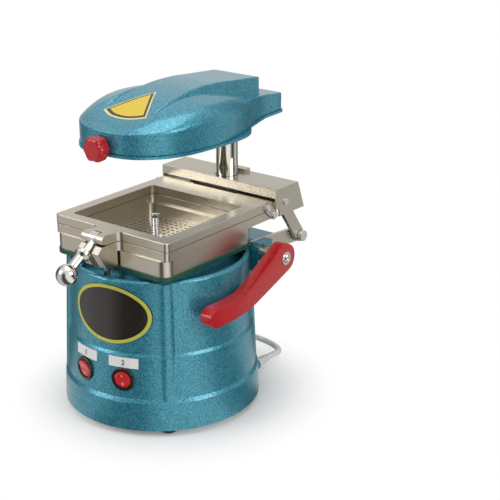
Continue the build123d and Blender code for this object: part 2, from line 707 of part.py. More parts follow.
with BuildPart() as centre_stud:
    stem_z = PERFORATED_TOP_Z + STUD_FLANGE_T
    stud_top_z = PERFORATED_TOP_Z + STUD_H
    rod(level(stud_seat_z, 0, WELL_Y), STUD_FLANGE_R, STUD_SEAT_T + STUD_FLANGE_T)
    rod(level(stem_z, 0, WELL_Y), STUD_STEM_R, stud_top_z - stem_z)
    rod(level(stud_top_z - STUD_TOP_T, 0, WELL_Y), STUD_TOP_R, STUD_TOP_T)
    ring_pitch = (stud_top_z - STUD_TOP_T - stem_z) / (STUD_RINGS + 0.5)
    for ring in range(STUD_RINGS):
        rod(level(stem_z + (ring + 0.5) * ring_pitch, 0, WELL_Y), STUD_RING_R, ring_pitch / 2)
save(centre_stud, "centre_stud")

# --- Column and its nut ---

with BuildPart() as column:
    rod(level(column_seat_z, 0, COLUMN_Y), COLUMN_R, COLUMN_TOP_Z - column_seat_z)
    thread_z = COLUMN_BOSS_BOTTOM_Z - COLUMN_THREAD_L
    rod(level(thread_z, 0, COLUMN_Y), COLUMN_THREAD_R, column_seat_z - thread_z)
    chamfer(column.edges().group_by(Axis.Z)[-1], 1)
save(column, "column")

with BuildPart() as column_nut:
    with BuildSketch(level(COLUMN_BOSS_BOTTOM_Z - COLUMN_NUT_T, 0, COLUMN_Y)):
        RegularPolygon(COLUMN_NUT_R, 6)
        Circle(COLUMN_THREAD_R + SEAT_FIT, mode=Mode.SUBTRACT)
    extrude(amount=COLUMN_NUT_T)
save(column_nut, "column_nut")

# --- Suction motor: fan housing, motor can, impeller and rotor ---

with BuildPart() as fan_housing:
    rod(level(HOUSING_Z), HOUSING_R, HOUSING_H)
    rod(level(HOUSING_Z + HOUSING_T), HOUSING_R - HOUSING_T, HOUSING_H, Mode.SUBTRACT)
    rod(level(HOUSING_Z), MOTOR_BEARING_R + SEAT_FIT, HOUSING_T, Mode.SUBTRACT)
    port_z = HOUSING_Z + HOUSING_H / 2
    rod(outward(180, HOUSING_R - 3 * HOUSING_T, port_z), HOUSING_PORT_R, 6 * HOUSING_T, Mode.SUBTRACT)
save(fan_housing, "fan_housing")

with BuildPart() as motor_can:
    rod(level(MOTOR_Z), MOTOR_R, MOTOR_H)
    rod(level(MOTOR_Z + MOTOR_T), MOTOR_R - MOTOR_T, MOTOR_H - 2 * MOTOR_T, Mode.SUBTRACT)
    rod(level(MOTOR_Z), MOTOR_BEARING_R, MOTOR_BEARING_H)
    rod(level(HOUSING_Z - MOTOR_BEARING_H), MOTOR_BEARING_R, MOTOR_BEARING_H)
    rod(level(MOTOR_Z + MOTOR_T), MOTOR_SHAFT_R + RUNNING_FIT, MOTOR_H, Mode.SUBTRACT)
save(motor_can, "motor_can")

impeller_z = HOUSING_Z + HOUSING_T + IMPELLER_FLOOR_GAP
with BuildPart() as impeller:
    rod(level(impeller_z), IMPELLER_R, IMPELLER_DISC_T)
    rod(level(impeller_z), IMPELLER_HUB_R, IMPELLER_T)
    with Locations(level(impeller_z)):
        with PolarLocations(BLADE_INNER_R, IMPELLER_BLADES):
            Box(
                IMPELLER_R - BLADE_INNER_R - LAP,
                BLADE_T,
                IMPELLER_T,
                align=(Align.MIN, Align.CENTER, Align.MIN),
            )
    rod(level(impeller_z), MOTOR_SHAFT_R + SEAT_FIT, IMPELLER_T, Mode.SUBTRACT)
save(impeller, "impeller")

with BuildPart() as motor_rotor:
    shaft_z = MOTOR_Z + MOTOR_T + SHAFT_FOOT_GAP
    rod(level(shaft_z), MOTOR_SHAFT_R, HOUSING_TOP_Z - SHAFT_TOP_GAP - shaft_z)
    rod(level(MOTOR_Z + (MOTOR_H - ROTOR_H) / 2), ROTOR_R, ROTOR_H)
save(motor_rotor, "motor_rotor")

# --- Switches: bezels with their barrels, and rockers whose lower half is pressed, which is off ---

rocker_reach = SWITCH_SEAT_R + ROCKER_PIVOT_OUT
for number, (angle, z) in enumerate(zip(SWITCH_ANGLES, SWITCH_HEIGHTS), start=1):
    with BuildPart() as switch_bezel:
        rod(outward(angle, SWITCH_SEAT_R, z), BEZEL_R, BEZEL_T)
        flange = switch_bezel.edges().filter_by(GeomType.CIRCLE)
        front_plane = outward(angle, SWITCH_SEAT_R, z)
        front = [e for e in flange if front_plane.to_local_coords(e.center()).Z > BEZEL_T / 2]
        fillet(front, BEZEL_ROUND)
        rod(outward(angle, SWITCH_SEAT_R - BARREL_L, z), BARREL_R, BARREL_L)
        bore_z = outward(angle, SWITCH_SEAT_R - BARREL_L + BARREL_FLOOR_T, z)
        rod(bore_z, ROCKER_R + ROCKER_GAP, BARREL_L + BEZEL_T, Mode.SUBTRACT)
        pivot_plane = outward(angle, rocker_reach, z)
        axle_start = -ROCKER_AXLE_HALF - ROCKER_GAP
        axle_bore = Plane(origin=pivot_plane.origin, z_dir=pivot_plane.x_dir).offset(axle_start)
        rod(axle_bore, ROCKER_AXLE_R + RUNNING_FIT, -2 * axle_start, Mode.SUBTRACT)
    save(switch_bezel, f"switch_bezel_{number}")

    with BuildPart() as rocker:
        tilted = pivot_plane.rotated((ROCKER_TILT, 0, 0))
        with Locations(tilted):
            Sphere(ROCKER_R)
            slab = ROCKER_PROUD + ROCKER_DEPTH
            with Locations((0, 0, (ROCKER_PROUD - ROCKER_DEPTH) / 2)):
                Box(2 * ROCKER_R, 2 * ROCKER_R, slab, mode=Mode.INTERSECT)
        axle = Plane(origin=pivot_plane.origin, z_dir=pivot_plane.x_dir).offset(-ROCKER_AXLE_HALF)
        rod(axle, ROCKER_AXLE_R, 2 * ROCKER_AXLE_HALF)
    save(rocker, f"rocker_{number}")

# --- Switch labels and badge: thin curved plates on the tiers ---


def tier_wrap(foot, top, proud, angle, half_width):
    """A thin band on a tier's slanted wall, from foot to top (radius, Z), centred at an angle."""
    half_angle = half_width / foot[0] * 180 / pi
    with BuildPart() as wrap:
        with BuildSketch(radial(angle - half_angle)):
            with BuildLine():
                Polyline(
                    foot,
                    (foot[0] + proud, foot[1]),
                    (top[0] + proud, top[1]),
                    top,
                    close=True,
                )
            make_face()
        revolve(axis=BODY_AXIS, revolution_arc=2 * half_angle)
    return wrap


def tier2_r(z):
    """The second tier's outer radius at a height."""
    share = (z - TIER2_FOOT_Z) / (TIER2_TOP_Z - TIER2_FOOT_Z)
    return TIER2_FOOT_R + share * (TIER2_TOP_R - TIER2_FOOT_R)


def tier3_r(z):
    """The third tier's outer radius at a height."""
    share = (z - TIER3_FOOT_Z) / (RIM_Z - TIER3_FOOT_Z)
    return TIER3_FOOT_R + share * (TIER3_TOP_R - TIER3_FOOT_R)


label_top_z = LABEL_FOOT_Z + LABEL_H
for number, angle in enumerate(LABEL_ANGLES, start=1):
    label_foot = (tier2_r(LABEL_FOOT_Z), LABEL_FOOT_Z)
    label_top = (tier2_r(label_top_z), label_top_z)
    switch_label = tier_wrap(label_foot, label_top, LABEL_T, angle, LABEL_W / 2)
    save(switch_label, f"switch_label_{number}")

badge_foot_z = BADGE_Z - BADGE_HALF_H - LAP
badge_top_z = BADGE_Z + BADGE_HALF_H + LAP
badge_band = tier_wrap(
    (tier3_r(badge_foot_z), badge_foot_z),
    (tier3_r(badge_top_z), badge_top_z),
    BADGE_T,
    BADGE_ANGLE,
    BADGE_HALF_W + 4 * LAP,
)
with BuildPart() as badge:
    add(badge_band.part)
    with BuildSketch(outward(BADGE_ANGLE, TIER3_FOOT_R / 2, BADGE_Z)):
        Ellipse(TIER3_FOOT_R * sin(BADGE_HALF_W / TIER3_FOOT_R), BADGE_HALF_H)
    extrude(amount=TIER3_FOOT_R, mode=Mode.INTERSECT)
save(badge, "badge")

# --- Carriage: lower frame with its lug, sheet seal, slider, bush, cover and pins ---

with BuildPart() as lower_frame:
    with BuildSketch(level(FRAME_Z)) as frame_plan:
        with BuildLine():
            Polyline(
                (-LOWER_FRAME_HALF_X, FRAME_FRONT_Y),
                (LOWER_FRAME_HALF_X, FRAME_FRONT_Y),
                (LOWER_FRAME_HALF_X, LOWER_FRAME_BACK_Y),
                (TONGUE_HALF_X, LOWER_FRAME_BACK_Y),
                (TONGUE_HALF_X, TONGUE_BACK_Y),
                (-TONGUE_HALF_X, TONGUE_BACK_Y),
                (-TONGUE_HALF_X, LOWER_FRAME_BACK_Y),
                (-LOWER_FRAME_HALF_X, LOWER_FRAME_BACK_Y),
                close=True,
            )
        make_face()
        fillet(frame_plan.vertices().sort_by(Axis.Y)[:2], FRAME_CORNER)
    extrude(amount=LOWER_FRAME_T)
    with BuildSketch(side(-LUG_HALF_X)):
        with BuildLine():
            Polyline(
                (FRAME_FRONT_Y + LAP, LOWER_FRAME_TOP_Z),
                *[(y, LOWER_FRAME_TOP_Z + drop) for y, drop in LOWER_LUG_FRONT],
                (LOWER_LUG_BACK_Y, LOWER_FRAME_TOP_Z + LOWER_LUG_FRONT[-1][1]),
                (LOWER_LUG_BACK_Y, FRAME_Z),
                (FRAME_FRONT_Y + LAP, FRAME_Z),
                close=True,
            )
        make_face()
    extrude(amount=2 * LUG_HALF_X)
    for sign in (-1, 1):
        with BuildSketch(level(FRAME_Z)):
            with Locations((sign * (LUG_HALF_X + FORK_FILLET / 2), FRAME_FRONT_Y - FORK_FILLET / 2)):
                Rectangle(FORK_FILLET, FORK_FILLET)
            with Locations((sign * (LUG_HALF_X + FORK_FILLET), FRAME_FRONT_Y - FORK_FILLET)):
                Circle(FORK_FILLET, mode=Mode.SUBTRACT)
        extrude(amount=LOWER_FRAME_T)
    slot_depth = (FRAME_Z - PLATFORM_T, LOWER_FRAME_TOP_Z)
    lug_tip = (LOWER_LUG_FRONT[1][0] - LAP, FORK_ROOT_Y)
    block((-FORK_SLOT_HALF, FORK_SLOT_HALF), lug_tip, slot_depth, Mode.SUBTRACT)
    with BuildSketch(level(FRAME_Z, 0, (WINDOW_FRONT_Y + WINDOW_BACK_Y) / 2)):
        RectangleRounded(2 * WINDOW_HALF_X, WINDOW_BACK_Y - WINDOW_FRONT_Y, WINDOW_CORNER)
    extrude(amount=LOWER_FRAME_T, mode=Mode.SUBTRACT)
    bush_r = COLUMN_R + RUNNING_FIT + BUSH_WALL
    rod(level(FRAME_Z, 0, COLUMN_Y), bush_r + SEAT_FIT, LOWER_FRAME_T, Mode.SUBTRACT)
    for start, end in ((-LOWER_FRAME_HALF_X, -HINGE_PIN_START_X), (HINGE_PIN_START_X, LOWER_FRAME_HALF_X)):
        cross_rod(start, end, HINGE_Y, HINGE_Z, HINGE_PIN_R + SEAT_FIT, Mode.SUBTRACT)
    guide_seat = GUIDE_PIN_R + SEAT_FIT
    guide_seat_z = FRAME_Z - 2 * PLATFORM_T
    rod(level(guide_seat_z, GUIDE_PIN_X, GUIDE_PIN_Y), guide_seat, 2 * PLATFORM_T, Mode.SUBTRACT)
save(lower_frame, "lower_frame")

with BuildPart() as sheet_seal:
    seal_x = LOWER_FRAME_HALF_X - SEAL_INSET
    seal_front = FRAME_FRONT_Y + SEAL_INSET
    with BuildSketch(level(LOWER_FRAME_TOP_Z, 0, (seal_front + SEAL_BACK_Y) / 2)):
        RectangleRounded(2 * seal_x, SEAL_BACK_Y - seal_front, FRAME_CORNER)
    extrude(amount=SEAL_T)
    with BuildSketch(level(LOWER_FRAME_TOP_Z, 0, (WINDOW_FRONT_Y + WINDOW_BACK_Y) / 2)):
        RectangleRounded(2 * WINDOW_HALF_X, WINDOW_BACK_Y - WINDOW_FRONT_Y, WINDOW_CORNER)
    extrude(amount=SEAL_T, mode=Mode.SUBTRACT)
save(sheet_seal, "sheet_seal")

with BuildPart() as slider_block:
    slider_x = (-SLIDER_HALF_X, SLIDER_HALF_X)
    block(slider_x, (SLIDER_FRONT_Y, SLIDER_BACK_Y), (LOWER_FRAME_TOP_Z, SLIDER_TOP_Z))
    rod(level(FRAME_Z, 0, COLUMN_Y), bush_r + SEAT_FIT, SLIDER_TOP_Z, Mode.SUBTRACT)
save(slider_block, "slider_block")

with BuildPart() as guide_bush:
    rod(level(FRAME_Z, 0, COLUMN_Y), bush_r, SLIDER_TOP_Z - FRAME_Z)
    rod(level(FRAME_Z, 0, COLUMN_Y), COLUMN_R + RUNNING_FIT, SLIDER_TOP_Z, Mode.SUBTRACT)
save(guide_bush, "guide_bush")

back_lean = (COVER_FOOT_BACK_Y - COVER_TOP_BACK_Y) / (COVER_TOP_Z - COVER_FOOT_Z)
back_offset = COVER_T * hypot(1, back_lean)
with BuildPart() as carriage_cover:
    with BuildSketch(side(-COVER_HALF_X)):
        with BuildLine():
            Polyline(
                (COVER_FRONT_Y, COVER_FOOT_Z),
                (COVER_FRONT_Y, COVER_TOP_Z),
                (COVER_TOP_BACK_Y, COVER_TOP_Z),
                (COVER_FOOT_BACK_Y, COVER_FOOT_Z),
                close=True,
            )
        make_face()
    extrude(amount=2 * COVER_HALF_X)
    cover_inner_x = COVER_HALF_X - COVER_T
    with BuildSketch(side(-cover_inner_x)):
        with BuildLine():
            Polyline(
                (COVER_FRONT_Y - LAP, COVER_FOOT_Z),
                (COVER_FRONT_Y - LAP, COVER_LIP_Z),
                (COVER_FRONT_Y + COVER_T, COVER_LIP_Z),
                (COVER_FRONT_Y + COVER_T, COVER_TOP_Z - COVER_T),
                (COVER_TOP_BACK_Y + back_lean * COVER_T - back_offset, COVER_TOP_Z - COVER_T),
                (COVER_FOOT_BACK_Y - back_offset, COVER_FOOT_Z),
                close=True,
            )
        make_face()
    extrude(amount=2 * cover_inner_x, mode=Mode.SUBTRACT)
    cross_rod(-COVER_HALF_X, COVER_HALF_X, HINGE_Y, HINGE_Z, COVER_NOTCH_R, Mode.SUBTRACT)
    tab_y = (COVER_TOP_BACK_Y - COVER_TAB_DEPTH, COVER_TOP_BACK_Y)
    block(COVER_TAB_X, tab_y, (COVER_TOP_Z, COVER_TOP_Z + COVER_TAB_T))
    column_gap_r = COLUMN_R + COVER_COLUMN_GAP
    rod(level(COVER_LIP_Z, 0, COLUMN_Y), column_gap_r, COVER_TOP_Z, Mode.SUBTRACT)
    cross_rod(cover_inner_x, COVER_HALF_X, LINK_TOP_Y, LINK_TOP_Z, LINK_PIN_R + SEAT_FIT, Mode.SUBTRACT)
    screw_y = COVER_TOP_BACK_Y + back_lean * (COVER_TOP_Z - LOCK_SCREW_Z)
    screw_plane = Plane(
        origin=axis_point((LOCK_SCREW_X, screw_y, LOCK_SCREW_Z)),
        x_dir=(1, 0, 0),
        z_dir=(0, 1, back_lean),
    )
    rod(screw_plane.offset(-2 * COVER_T), LOCK_SCREW_R + SEAT_FIT, 3 * COVER_T, Mode.SUBTRACT)
save(carriage_cover, "carriage_cover")

with BuildPart() as lock_screw:
    rod(screw_plane, LOCK_SCREW_HEAD_R, LOCK_SCREW_HEAD_T)
    rod(screw_plane.offset(-2 * COVER_T), LOCK_SCREW_R, 2 * COVER_T)
save(lock_screw, "lock_screw")

hinge_plate_x = UPPER_FRAME_HALF_X + HINGE_PLATE_T
hinge_head_x = hinge_plate_x + HINGE_PIN_HEAD_T
with BuildPart() as hinge_pins:
    cross_rod(HINGE_PIN_START_X, hinge_plate_x, HINGE_Y, HINGE_Z, HINGE_PIN_R)
    cross_rod(hinge_plate_x, hinge_head_x, HINGE_Y, HINGE_Z, HINGE_PIN_HEAD_R)
    mirror(about=Plane(origin=axis_point((0, 0, 0)), z_dir=(1, 0, 0)))
save(hinge_pins, "hinge_pins")

with BuildPart() as link_pivot_pin:
    shoulder_x = LINK_X[0] - SIDE_GAP
    cross_rod(shoulder_x, COVER_HALF_X, LINK_TOP_Y, LINK_TOP_Z, LINK_PIN_R)
    cross_rod(
        shoulder_x - LINK_PIN_SHOULDER_T, shoulder_x, LINK_TOP_Y, LINK_TOP_Z, LINK_PIN_SHOULDER_R
    )
    cross_rod(LINK_X[1] + SIDE_GAP, cover_inner_x, LINK_TOP_Y, LINK_TOP_Z, LINK_PIN_SPACER_R)
    pin_head_x = COVER_HALF_X + LINK_PIN_HEAD_T
    cross_rod(COVER_HALF_X, pin_head_x, LINK_TOP_Y, LINK_TOP_Z, LINK_PIN_HEAD_R)
save(link_pivot_pin, "link_pivot_pin")

with BuildPart() as guide_pin:
    rod(level(GUIDE_PIN_BOTTOM_Z, GUIDE_PIN_X, GUIDE_PIN_Y), GUIDE_PIN_R, FRAME_Z - GUIDE_PIN_BOTTOM_Z)
save(guide_pin, "guide_pin")

# --- Upper frame, hinge plates, their screws and the clamp pin ---

with BuildPart() as upper_frame:
    with BuildSketch(level(UPPER_FRAME_Z)) as upper_plan:
        with BuildLine():
            Polyline(
                (-UPPER_FRAME_HALF_X, FRAME_FRONT_Y),
                (UPPER_FRAME_HALF_X, FRAME_FRONT_Y),
                (UPPER_FRAME_HALF_X, UPPER_FRAME_BACK_Y),
                (-UPPER_FRAME_HALF_X, UPPER_FRAME_BACK_Y),
                close=True,
            )
        make_face()
        fillet(upper_plan.vertices().sort_by(Axis.Y)[:2], FRAME_CORNER)
    extrude(amount=UPPER_FRAME_T)
    chamfer(upper_frame.edges().group_by(Axis.Z)[-1], FRAME_EDGE_CHAMFER)
    with BuildSketch(side(-LUG_HALF_X)):
        with BuildLine():
            low = Line((FRAME_FRONT_Y + LAP, UPPER_FRAME_Z), (CLAMP_Y, UPPER_FRAME_Z))
            tip = Line((CLAMP_Y - UPPER_FORK_R, UPPER_FRAME_Z + 2 * LAP), (CLAMP_Y - UPPER_FORK_R, CLAMP_Z))
            Line(low @ 1, tip @ 0)
            RadiusArc(tip @ 1, (CLAMP_Y, CLAMP_Z + UPPER_FORK_R), UPPER_FORK_R)
            Polyline(
                (CLAMP_Y, CLAMP_Z + UPPER_FORK_R),
                (FORK_ROOT_Y, UPPER_FRAME_TOP_Z),
                (FRAME_FRONT_Y + LAP, UPPER_FRAME_TOP_Z),
                low @ 0,
            )
        make_face()
    extrude(amount=2 * LUG_HALF_X)
    for sign in (-1, 1):
        with BuildSketch(level(UPPER_FRAME_Z)):
            with Locations((sign * (LUG_HALF_X + FORK_FILLET / 2), FRAME_FRONT_Y - FORK_FILLET / 2)):
                Rectangle(FORK_FILLET, FORK_FILLET)
            with Locations((sign * (LUG_HALF_X + FORK_FILLET), FRAME_FRONT_Y - FORK_FILLET)):
                Circle(FORK_FILLET, mode=Mode.SUBTRACT)
        extrude(amount=UPPER_FRAME_T)
    fork_x = (-FORK_SLOT_HALF, FORK_SLOT_HALF)
    fork_y = (CLAMP_Y - 2 * UPPER_FORK_R, FORK_ROOT_Y)
    block(fork_x, fork_y, (UPPER_FRAME_Z, UPPER_FRAME_TOP_Z + UPPER_FORK_R), Mode.SUBTRACT)
    cross_rod(-CLAMP_PIN_HALF, CLAMP_PIN_HALF, CLAMP_Y, CLAMP_Z, CLAMP_PIN_R + SEAT_FIT, Mode.SUBTRACT)
    with BuildSketch(level(UPPER_FRAME_Z, 0, (WINDOW_FRONT_Y + WINDOW_BACK_Y) / 2)):
        RectangleRounded(2 * WINDOW_HALF_X, WINDOW_BACK_Y - WINDOW_FRONT_Y, WINDOW_CORNER)
    extrude(amount=UPPER_FRAME_T, mode=Mode.SUBTRACT)
    relief_x = SLIDER_HALF_X + SLIDER_RELIEF_GAP
    relief_z = (UPPER_FRAME_Z, UPPER_FRAME_TOP_Z)
    block((-relief_x, relief_x), (SLIDER_RELIEF_Y, UPPER_FRAME_BACK_Y), relief_z, Mode.SUBTRACT)
    screw_hole_x = UPPER_FRAME_HALF_X - HINGE_SCREW_L
    for start, end in ((-UPPER_FRAME_HALF_X, -screw_hole_x), (screw_hole_x, UPPER_FRAME_HALF_X)):
        cross_rod(start, end, HINGE_SCREW_Y, HINGE_SCREW_Z, HINGE_SCREW_R + SEAT_FIT, Mode.SUBTRACT)
save(upper_frame, "upper_frame")

plate_spans = {
    "hinge_plate_l": (-hinge_plate_x, -UPPER_FRAME_HALF_X),
    "hinge_plate_r": (UPPER_FRAME_HALF_X, hinge_plate_x),
}
for name, span in plate_spans.items():
    with BuildPart() as hinge_plate:
        bar(span, (HINGE_SCREW_Y, HINGE_SCREW_Z), (HINGE_Y, HINGE_Z), HINGE_PLATE_R)
        cross_rod(*span, HINGE_Y, HINGE_Z, HINGE_PIN_R + RUNNING_FIT, Mode.SUBTRACT)
        cross_rod(*span, HINGE_SCREW_Y, HINGE_SCREW_Z, HINGE_SCREW_R + SEAT_FIT, Mode.SUBTRACT)
    save(hinge_plate, name)

with BuildPart() as hinge_screws:
    screw_head_x = hinge_plate_x + HINGE_SCREW_HEAD_T
    cross_rod(screw_hole_x, hinge_plate_x, HINGE_SCREW_Y, HINGE_SCREW_Z, HINGE_SCREW_R)
    cross_rod(hinge_plate_x, screw_head_x, HINGE_SCREW_Y, HINGE_SCREW_Z, HINGE_SCREW_HEAD_R)
    mirror(about=Plane(origin=axis_point((0, 0, 0)), z_dir=(1, 0, 0)))
save(hinge_screws, "hinge_screws")

with BuildPart() as clamp_pivot_pin:
    cross_rod(-CLAMP_PIN_HALF, CLAMP_PIN_HALF, CLAMP_Y, CLAMP_Z, CLAMP_PIN_R)
save(clamp_pivot_pin, "clamp_pivot_pin")

# --- Swing bolt and its ball nut ---


def along_bolt(reach):
    """A plane across the swing bolt, at a reach from its pivot."""
    origin = (AXIS_X, AXIS_Y + CLAMP_Y + reach * BOLT_OUT[0], CLAMP_Z + reach * BOLT_OUT[1])
    return Plane(origin=origin, x_dir=(1, 0, 0), z_dir=(0, BOLT_OUT[0], BOLT_OUT[1]))


with BuildPart() as clamp_bolt:
    cross_rod(-BOLT_EYE_HALF, BOLT_EYE_HALF, CLAMP_Y, CLAMP_Z, BOLT_EYE_R)
    rod(along_bolt(0), BOLT_SHANK_R, BOLT_L)
    cross_rod(-BOLT_EYE_HALF, BOLT_EYE_HALF, CLAMP_Y, CLAMP_Z, CLAMP_PIN_R + RUNNING_FIT, Mode.SUBTRACT)
save(clamp_bolt, "clamp_bolt")

with BuildPart() as clamp_ball:
    rod(along_bolt(BALL_COLLAR_AT), BALL_COLLAR_R, BALL_COLLAR_T / 2)
    with Locations(along_bolt(BALL_COLLAR_AT + BALL_COLLAR_T / 2)):
        Cone(
            BALL_COLLAR_R,
            BALL_NECK_R,
            BALL_COLLAR_T / 2,
            align=(Align.CENTER, Align.CENTER, Align.MIN),
        )
    rod(along_bolt(BALL_COLLAR_AT + BALL_COLLAR_T), BALL_NECK_R, BALL_AT - BALL_COLLAR_AT - BALL_COLLAR_T)
    with Locations(along_bolt(BALL_AT)):
        Sphere(BALL_R)
    bolt_bore = BOLT_SHANK_R + RUNNING_FIT
    rod(along_bolt(BALL_COLLAR_AT), bolt_bore, BOLT_L + LAP - BALL_COLLAR_AT, Mode.SUBTRACT)
save(clamp_ball, "clamp_ball")

# --- Lever, shaft, crank and link ---

with BuildPart() as lever_shaft:
    cross_rod(SHAFT_START_X, SHAFT_END_X, SHAFT_Y, SHAFT_Z, SHAFT_R)
    cross_rod(LUG_X[1] + SIDE_GAP, HANDLE_X[0], SHAFT_Y, SHAFT_Z, SHAFT_COLLAR_R)
    screw_start_x = HANDLE_X[1] + LEVER_WASHER_T - LEVER_SCREW_L
    cross_rod(screw_start_x, SHAFT_END_X, SHAFT_Y, SHAFT_Z, LEVER_SCREW_R + SEAT_FIT, Mode.SUBTRACT)
save(lever_shaft, "lever_shaft")


def hub_tangent(outside, turn):
    """The point where a line from outside touches the hub, on the side that turn gives."""
    centre = Vector(SHAFT_Y, SHAFT_Z)
    start = Vector(*outside)
    away = centre - start
    reach = (away.length**2 - HUB_R**2) ** 0.5
    direction = away.normalized().rotate(Axis.Z, turn * degrees(atan(HUB_R / reach)))
    touch = start + direction * reach
    return (touch.X, touch.Y)


with BuildPart() as lever_handle:
    with BuildSketch(side(HANDLE_ARM_X)) as handle_side:
        with BuildLine():
            Polyline(
                hub_tangent(HANDLE_GRIP[0], 1),
                *HANDLE_GRIP,
                *HANDLE_UNDER,
                hub_tangent(HANDLE_UNDER[-1], -1),
                close=True,
            )
        make_face()
        grip_end = [v for v in handle_side.vertices() if v.X < HANDLE_UNDER[1][0] + LAP]
        fillet(grip_end, GRIP_ROUND)
        with Locations((SHAFT_Y, SHAFT_Z)):
            Circle(HUB_R)
    extrude(amount=HANDLE_X[1] - HANDLE_ARM_X)
    rims = lever_handle.faces().filter_by(Axis.X).edges()
    chamfer(rims, HANDLE_CHAMFER)
    cross_rod(HANDLE_X[0], HANDLE_ARM_X, SHAFT_Y, SHAFT_Z, HUB_R - HANDLE_CHAMFER)
    cross_rod(HANDLE_X[0], SHAFT_END_X, SHAFT_Y, SHAFT_Z, SHAFT_R + SEAT_FIT, Mode.SUBTRACT)
    screw_hole = LEVER_SCREW_R + SEAT_FIT
    cross_rod(HANDLE_X[0], HANDLE_X[1], SHAFT_Y, SHAFT_Z, screw_hole, Mode.SUBTRACT)
save(lever_handle, "lever_handle")

with BuildPart() as lever_washer:
    washer_x = HANDLE_X[1] + LEVER_WASHER_T
    cross_rod(HANDLE_X[1], washer_x, SHAFT_Y, SHAFT_Z, LEVER_WASHER_R)
    cross_rod(HANDLE_X[1], washer_x, SHAFT_Y, SHAFT_Z, screw_hole, Mode.SUBTRACT)
save(lever_washer, "lever_washer")

with BuildPart() as lever_screw:
    cross_rod(screw_start_x, washer_x, SHAFT_Y, SHAFT_Z, LEVER_SCREW_R)
    cross_rod(washer_x, washer_x + LEVER_SCREW_HEAD_T, SHAFT_Y, SHAFT_Z, LEVER_SCREW_HEAD_R)
save(lever_screw, "lever_screw")

with BuildPart() as crank_arm:
    bar(CRANK_X, (SHAFT_Y, SHAFT_Z), (CRANK_TIP_Y, CRANK_TIP_Z), CRANK_R)
    cross_rod(*CRANK_X, SHAFT_Y, SHAFT_Z, SHAFT_R + SEAT_FIT, Mode.SUBTRACT)
    cross_rod(*CRANK_X, CRANK_TIP_Y, CRANK_TIP_Z, CRANK_PIN_R + SEAT_FIT, Mode.SUBTRACT)
save(crank_arm, "crank_arm")

with BuildPart() as crank_pin:
    head_x = LINK_X[1] + CRANK_PIN_HEAD_GAP
    cross_rod(CRANK_X[0], head_x, CRANK_TIP_Y, CRANK_TIP_Z, CRANK_PIN_R)
    cross_rod(CRANK_X[1], LINK_X[0] - SIDE_GAP, CRANK_TIP_Y, CRANK_TIP_Z, CRANK_PIN_SHOULDER_R)
    cross_rod(head_x, head_x + CRANK_PIN_HEAD_T, CRANK_TIP_Y, CRANK_TIP_Z, CRANK_PIN_HEAD_R)
save(crank_pin, "crank_pin")

with BuildPart() as link_arm:
    bar(LINK_X, (LINK_TOP_Y, LINK_TOP_Z), (CRANK_TIP_Y, CRANK_TIP_Z), LINK_R)
    cross_rod(*LINK_X, LINK_TOP_Y, LINK_TOP_Z, LINK_PIN_R + RUNNING_FIT, Mode.SUBTRACT)
    cross_rod(*LINK_X, CRANK_TIP_Y, CRANK_TIP_Z, CRANK_PIN_R + OPEN_PIVOT_PLAY, Mode.SUBTRACT)
save(link_arm, "link_arm")

# --- Heater head: domed shell with its raised band and tail, base rim, heater, bush, knob, label ---


def head_oval(z, inset):
    """The head's oval plan outline at a height, drawn in by an inset."""
    middle_x, middle_y = HEAD_SIDE[2]
    shrink = 1 - inset / middle_x
    with BuildSketch(level(z)) as outline:
        with BuildLine():
            flank = [(x * shrink, middle_y + (y - middle_y) * shrink) for x, y in HEAD_SIDE]
            front = (0, middle_y + (HEAD_FRONT_Y - middle_y) * shrink)
            back = (0, middle_y + (HEAD_OVAL_BACK_Y - middle_y) * shrink)
            Spline(front, *flank, back, tangents=((1, 0), (-1, 0)))
            mirror(about=Plane.YZ)
        make_face()
    return outline.sketch


def head_dome(inset):
    """The domed oval under its long round roof, both drawn in by an inset."""
    foot = head_oval(HEAD_SHELL_Z, inset)
    shoulder = head_oval(SHOULDER_Z, inset)
    crown = head_oval(ROOF_CREST_Z, inset + SHOULDER_IN)
    with BuildPart() as dome:
        add(foot)
        add(shoulder)
        add(crown)
        loft(ruled=True)
        arch_r = ROOF_ARCH_R - inset
        crest_z = ROOF_CREST_Z - inset
        spring_z = crest_z - arch_r + (arch_r**2 - ROOF_HALF_X**2) ** 0.5
        with BuildSketch(facing(ROOF_Y)):
            with BuildLine():
                ThreePointArc((-ROOF_HALF_X, spring_z), (0, crest_z), (ROOF_HALF_X, spring_z))
                Polyline(
                    (ROOF_HALF_X, spring_z),
                    (ROOF_HALF_X, ROOF_BOTTOM_Z),
                    (-ROOF_HALF_X, ROOF_BOTTOM_Z),
                    (-ROOF_HALF_X, spring_z),
                )
            make_face()
        roof_axis = Axis((AXIS_X, AXIS_Y + ROOF_Y, ROOF_CREST_Z - ROOF_LONG_R), (1, 0, 0))
        revolve(axis=roof_axis, mode=Mode.INTERSECT)
    return dome.part


def tail_plan(z, proud):
    """The tail's plan at a height, behind the oval, grown by a margin."""
    neck_half, neck_y = HEAD_TAIL_NECK
    waist_half, waist_y = HEAD_TAIL_WAIST
    with BuildSketch(level(z)) as plan:
        with BuildLine():
            Polyline(
                (0, neck_y),
                (neck_half + proud, neck_y),
                (waist_half + proud, waist_y),
                (HEAD_TAIL_HALF + proud, HEAD_TAIL_Y + proud),
                (0, HEAD_TAIL_Y + proud),
            )
            mirror(about=Plane.YZ)
        make_face()
        fillet(plan.vertices().sort_by(Axis.Y)[-2:], HEAD_TAIL_ROUND)
    return plan.sketch


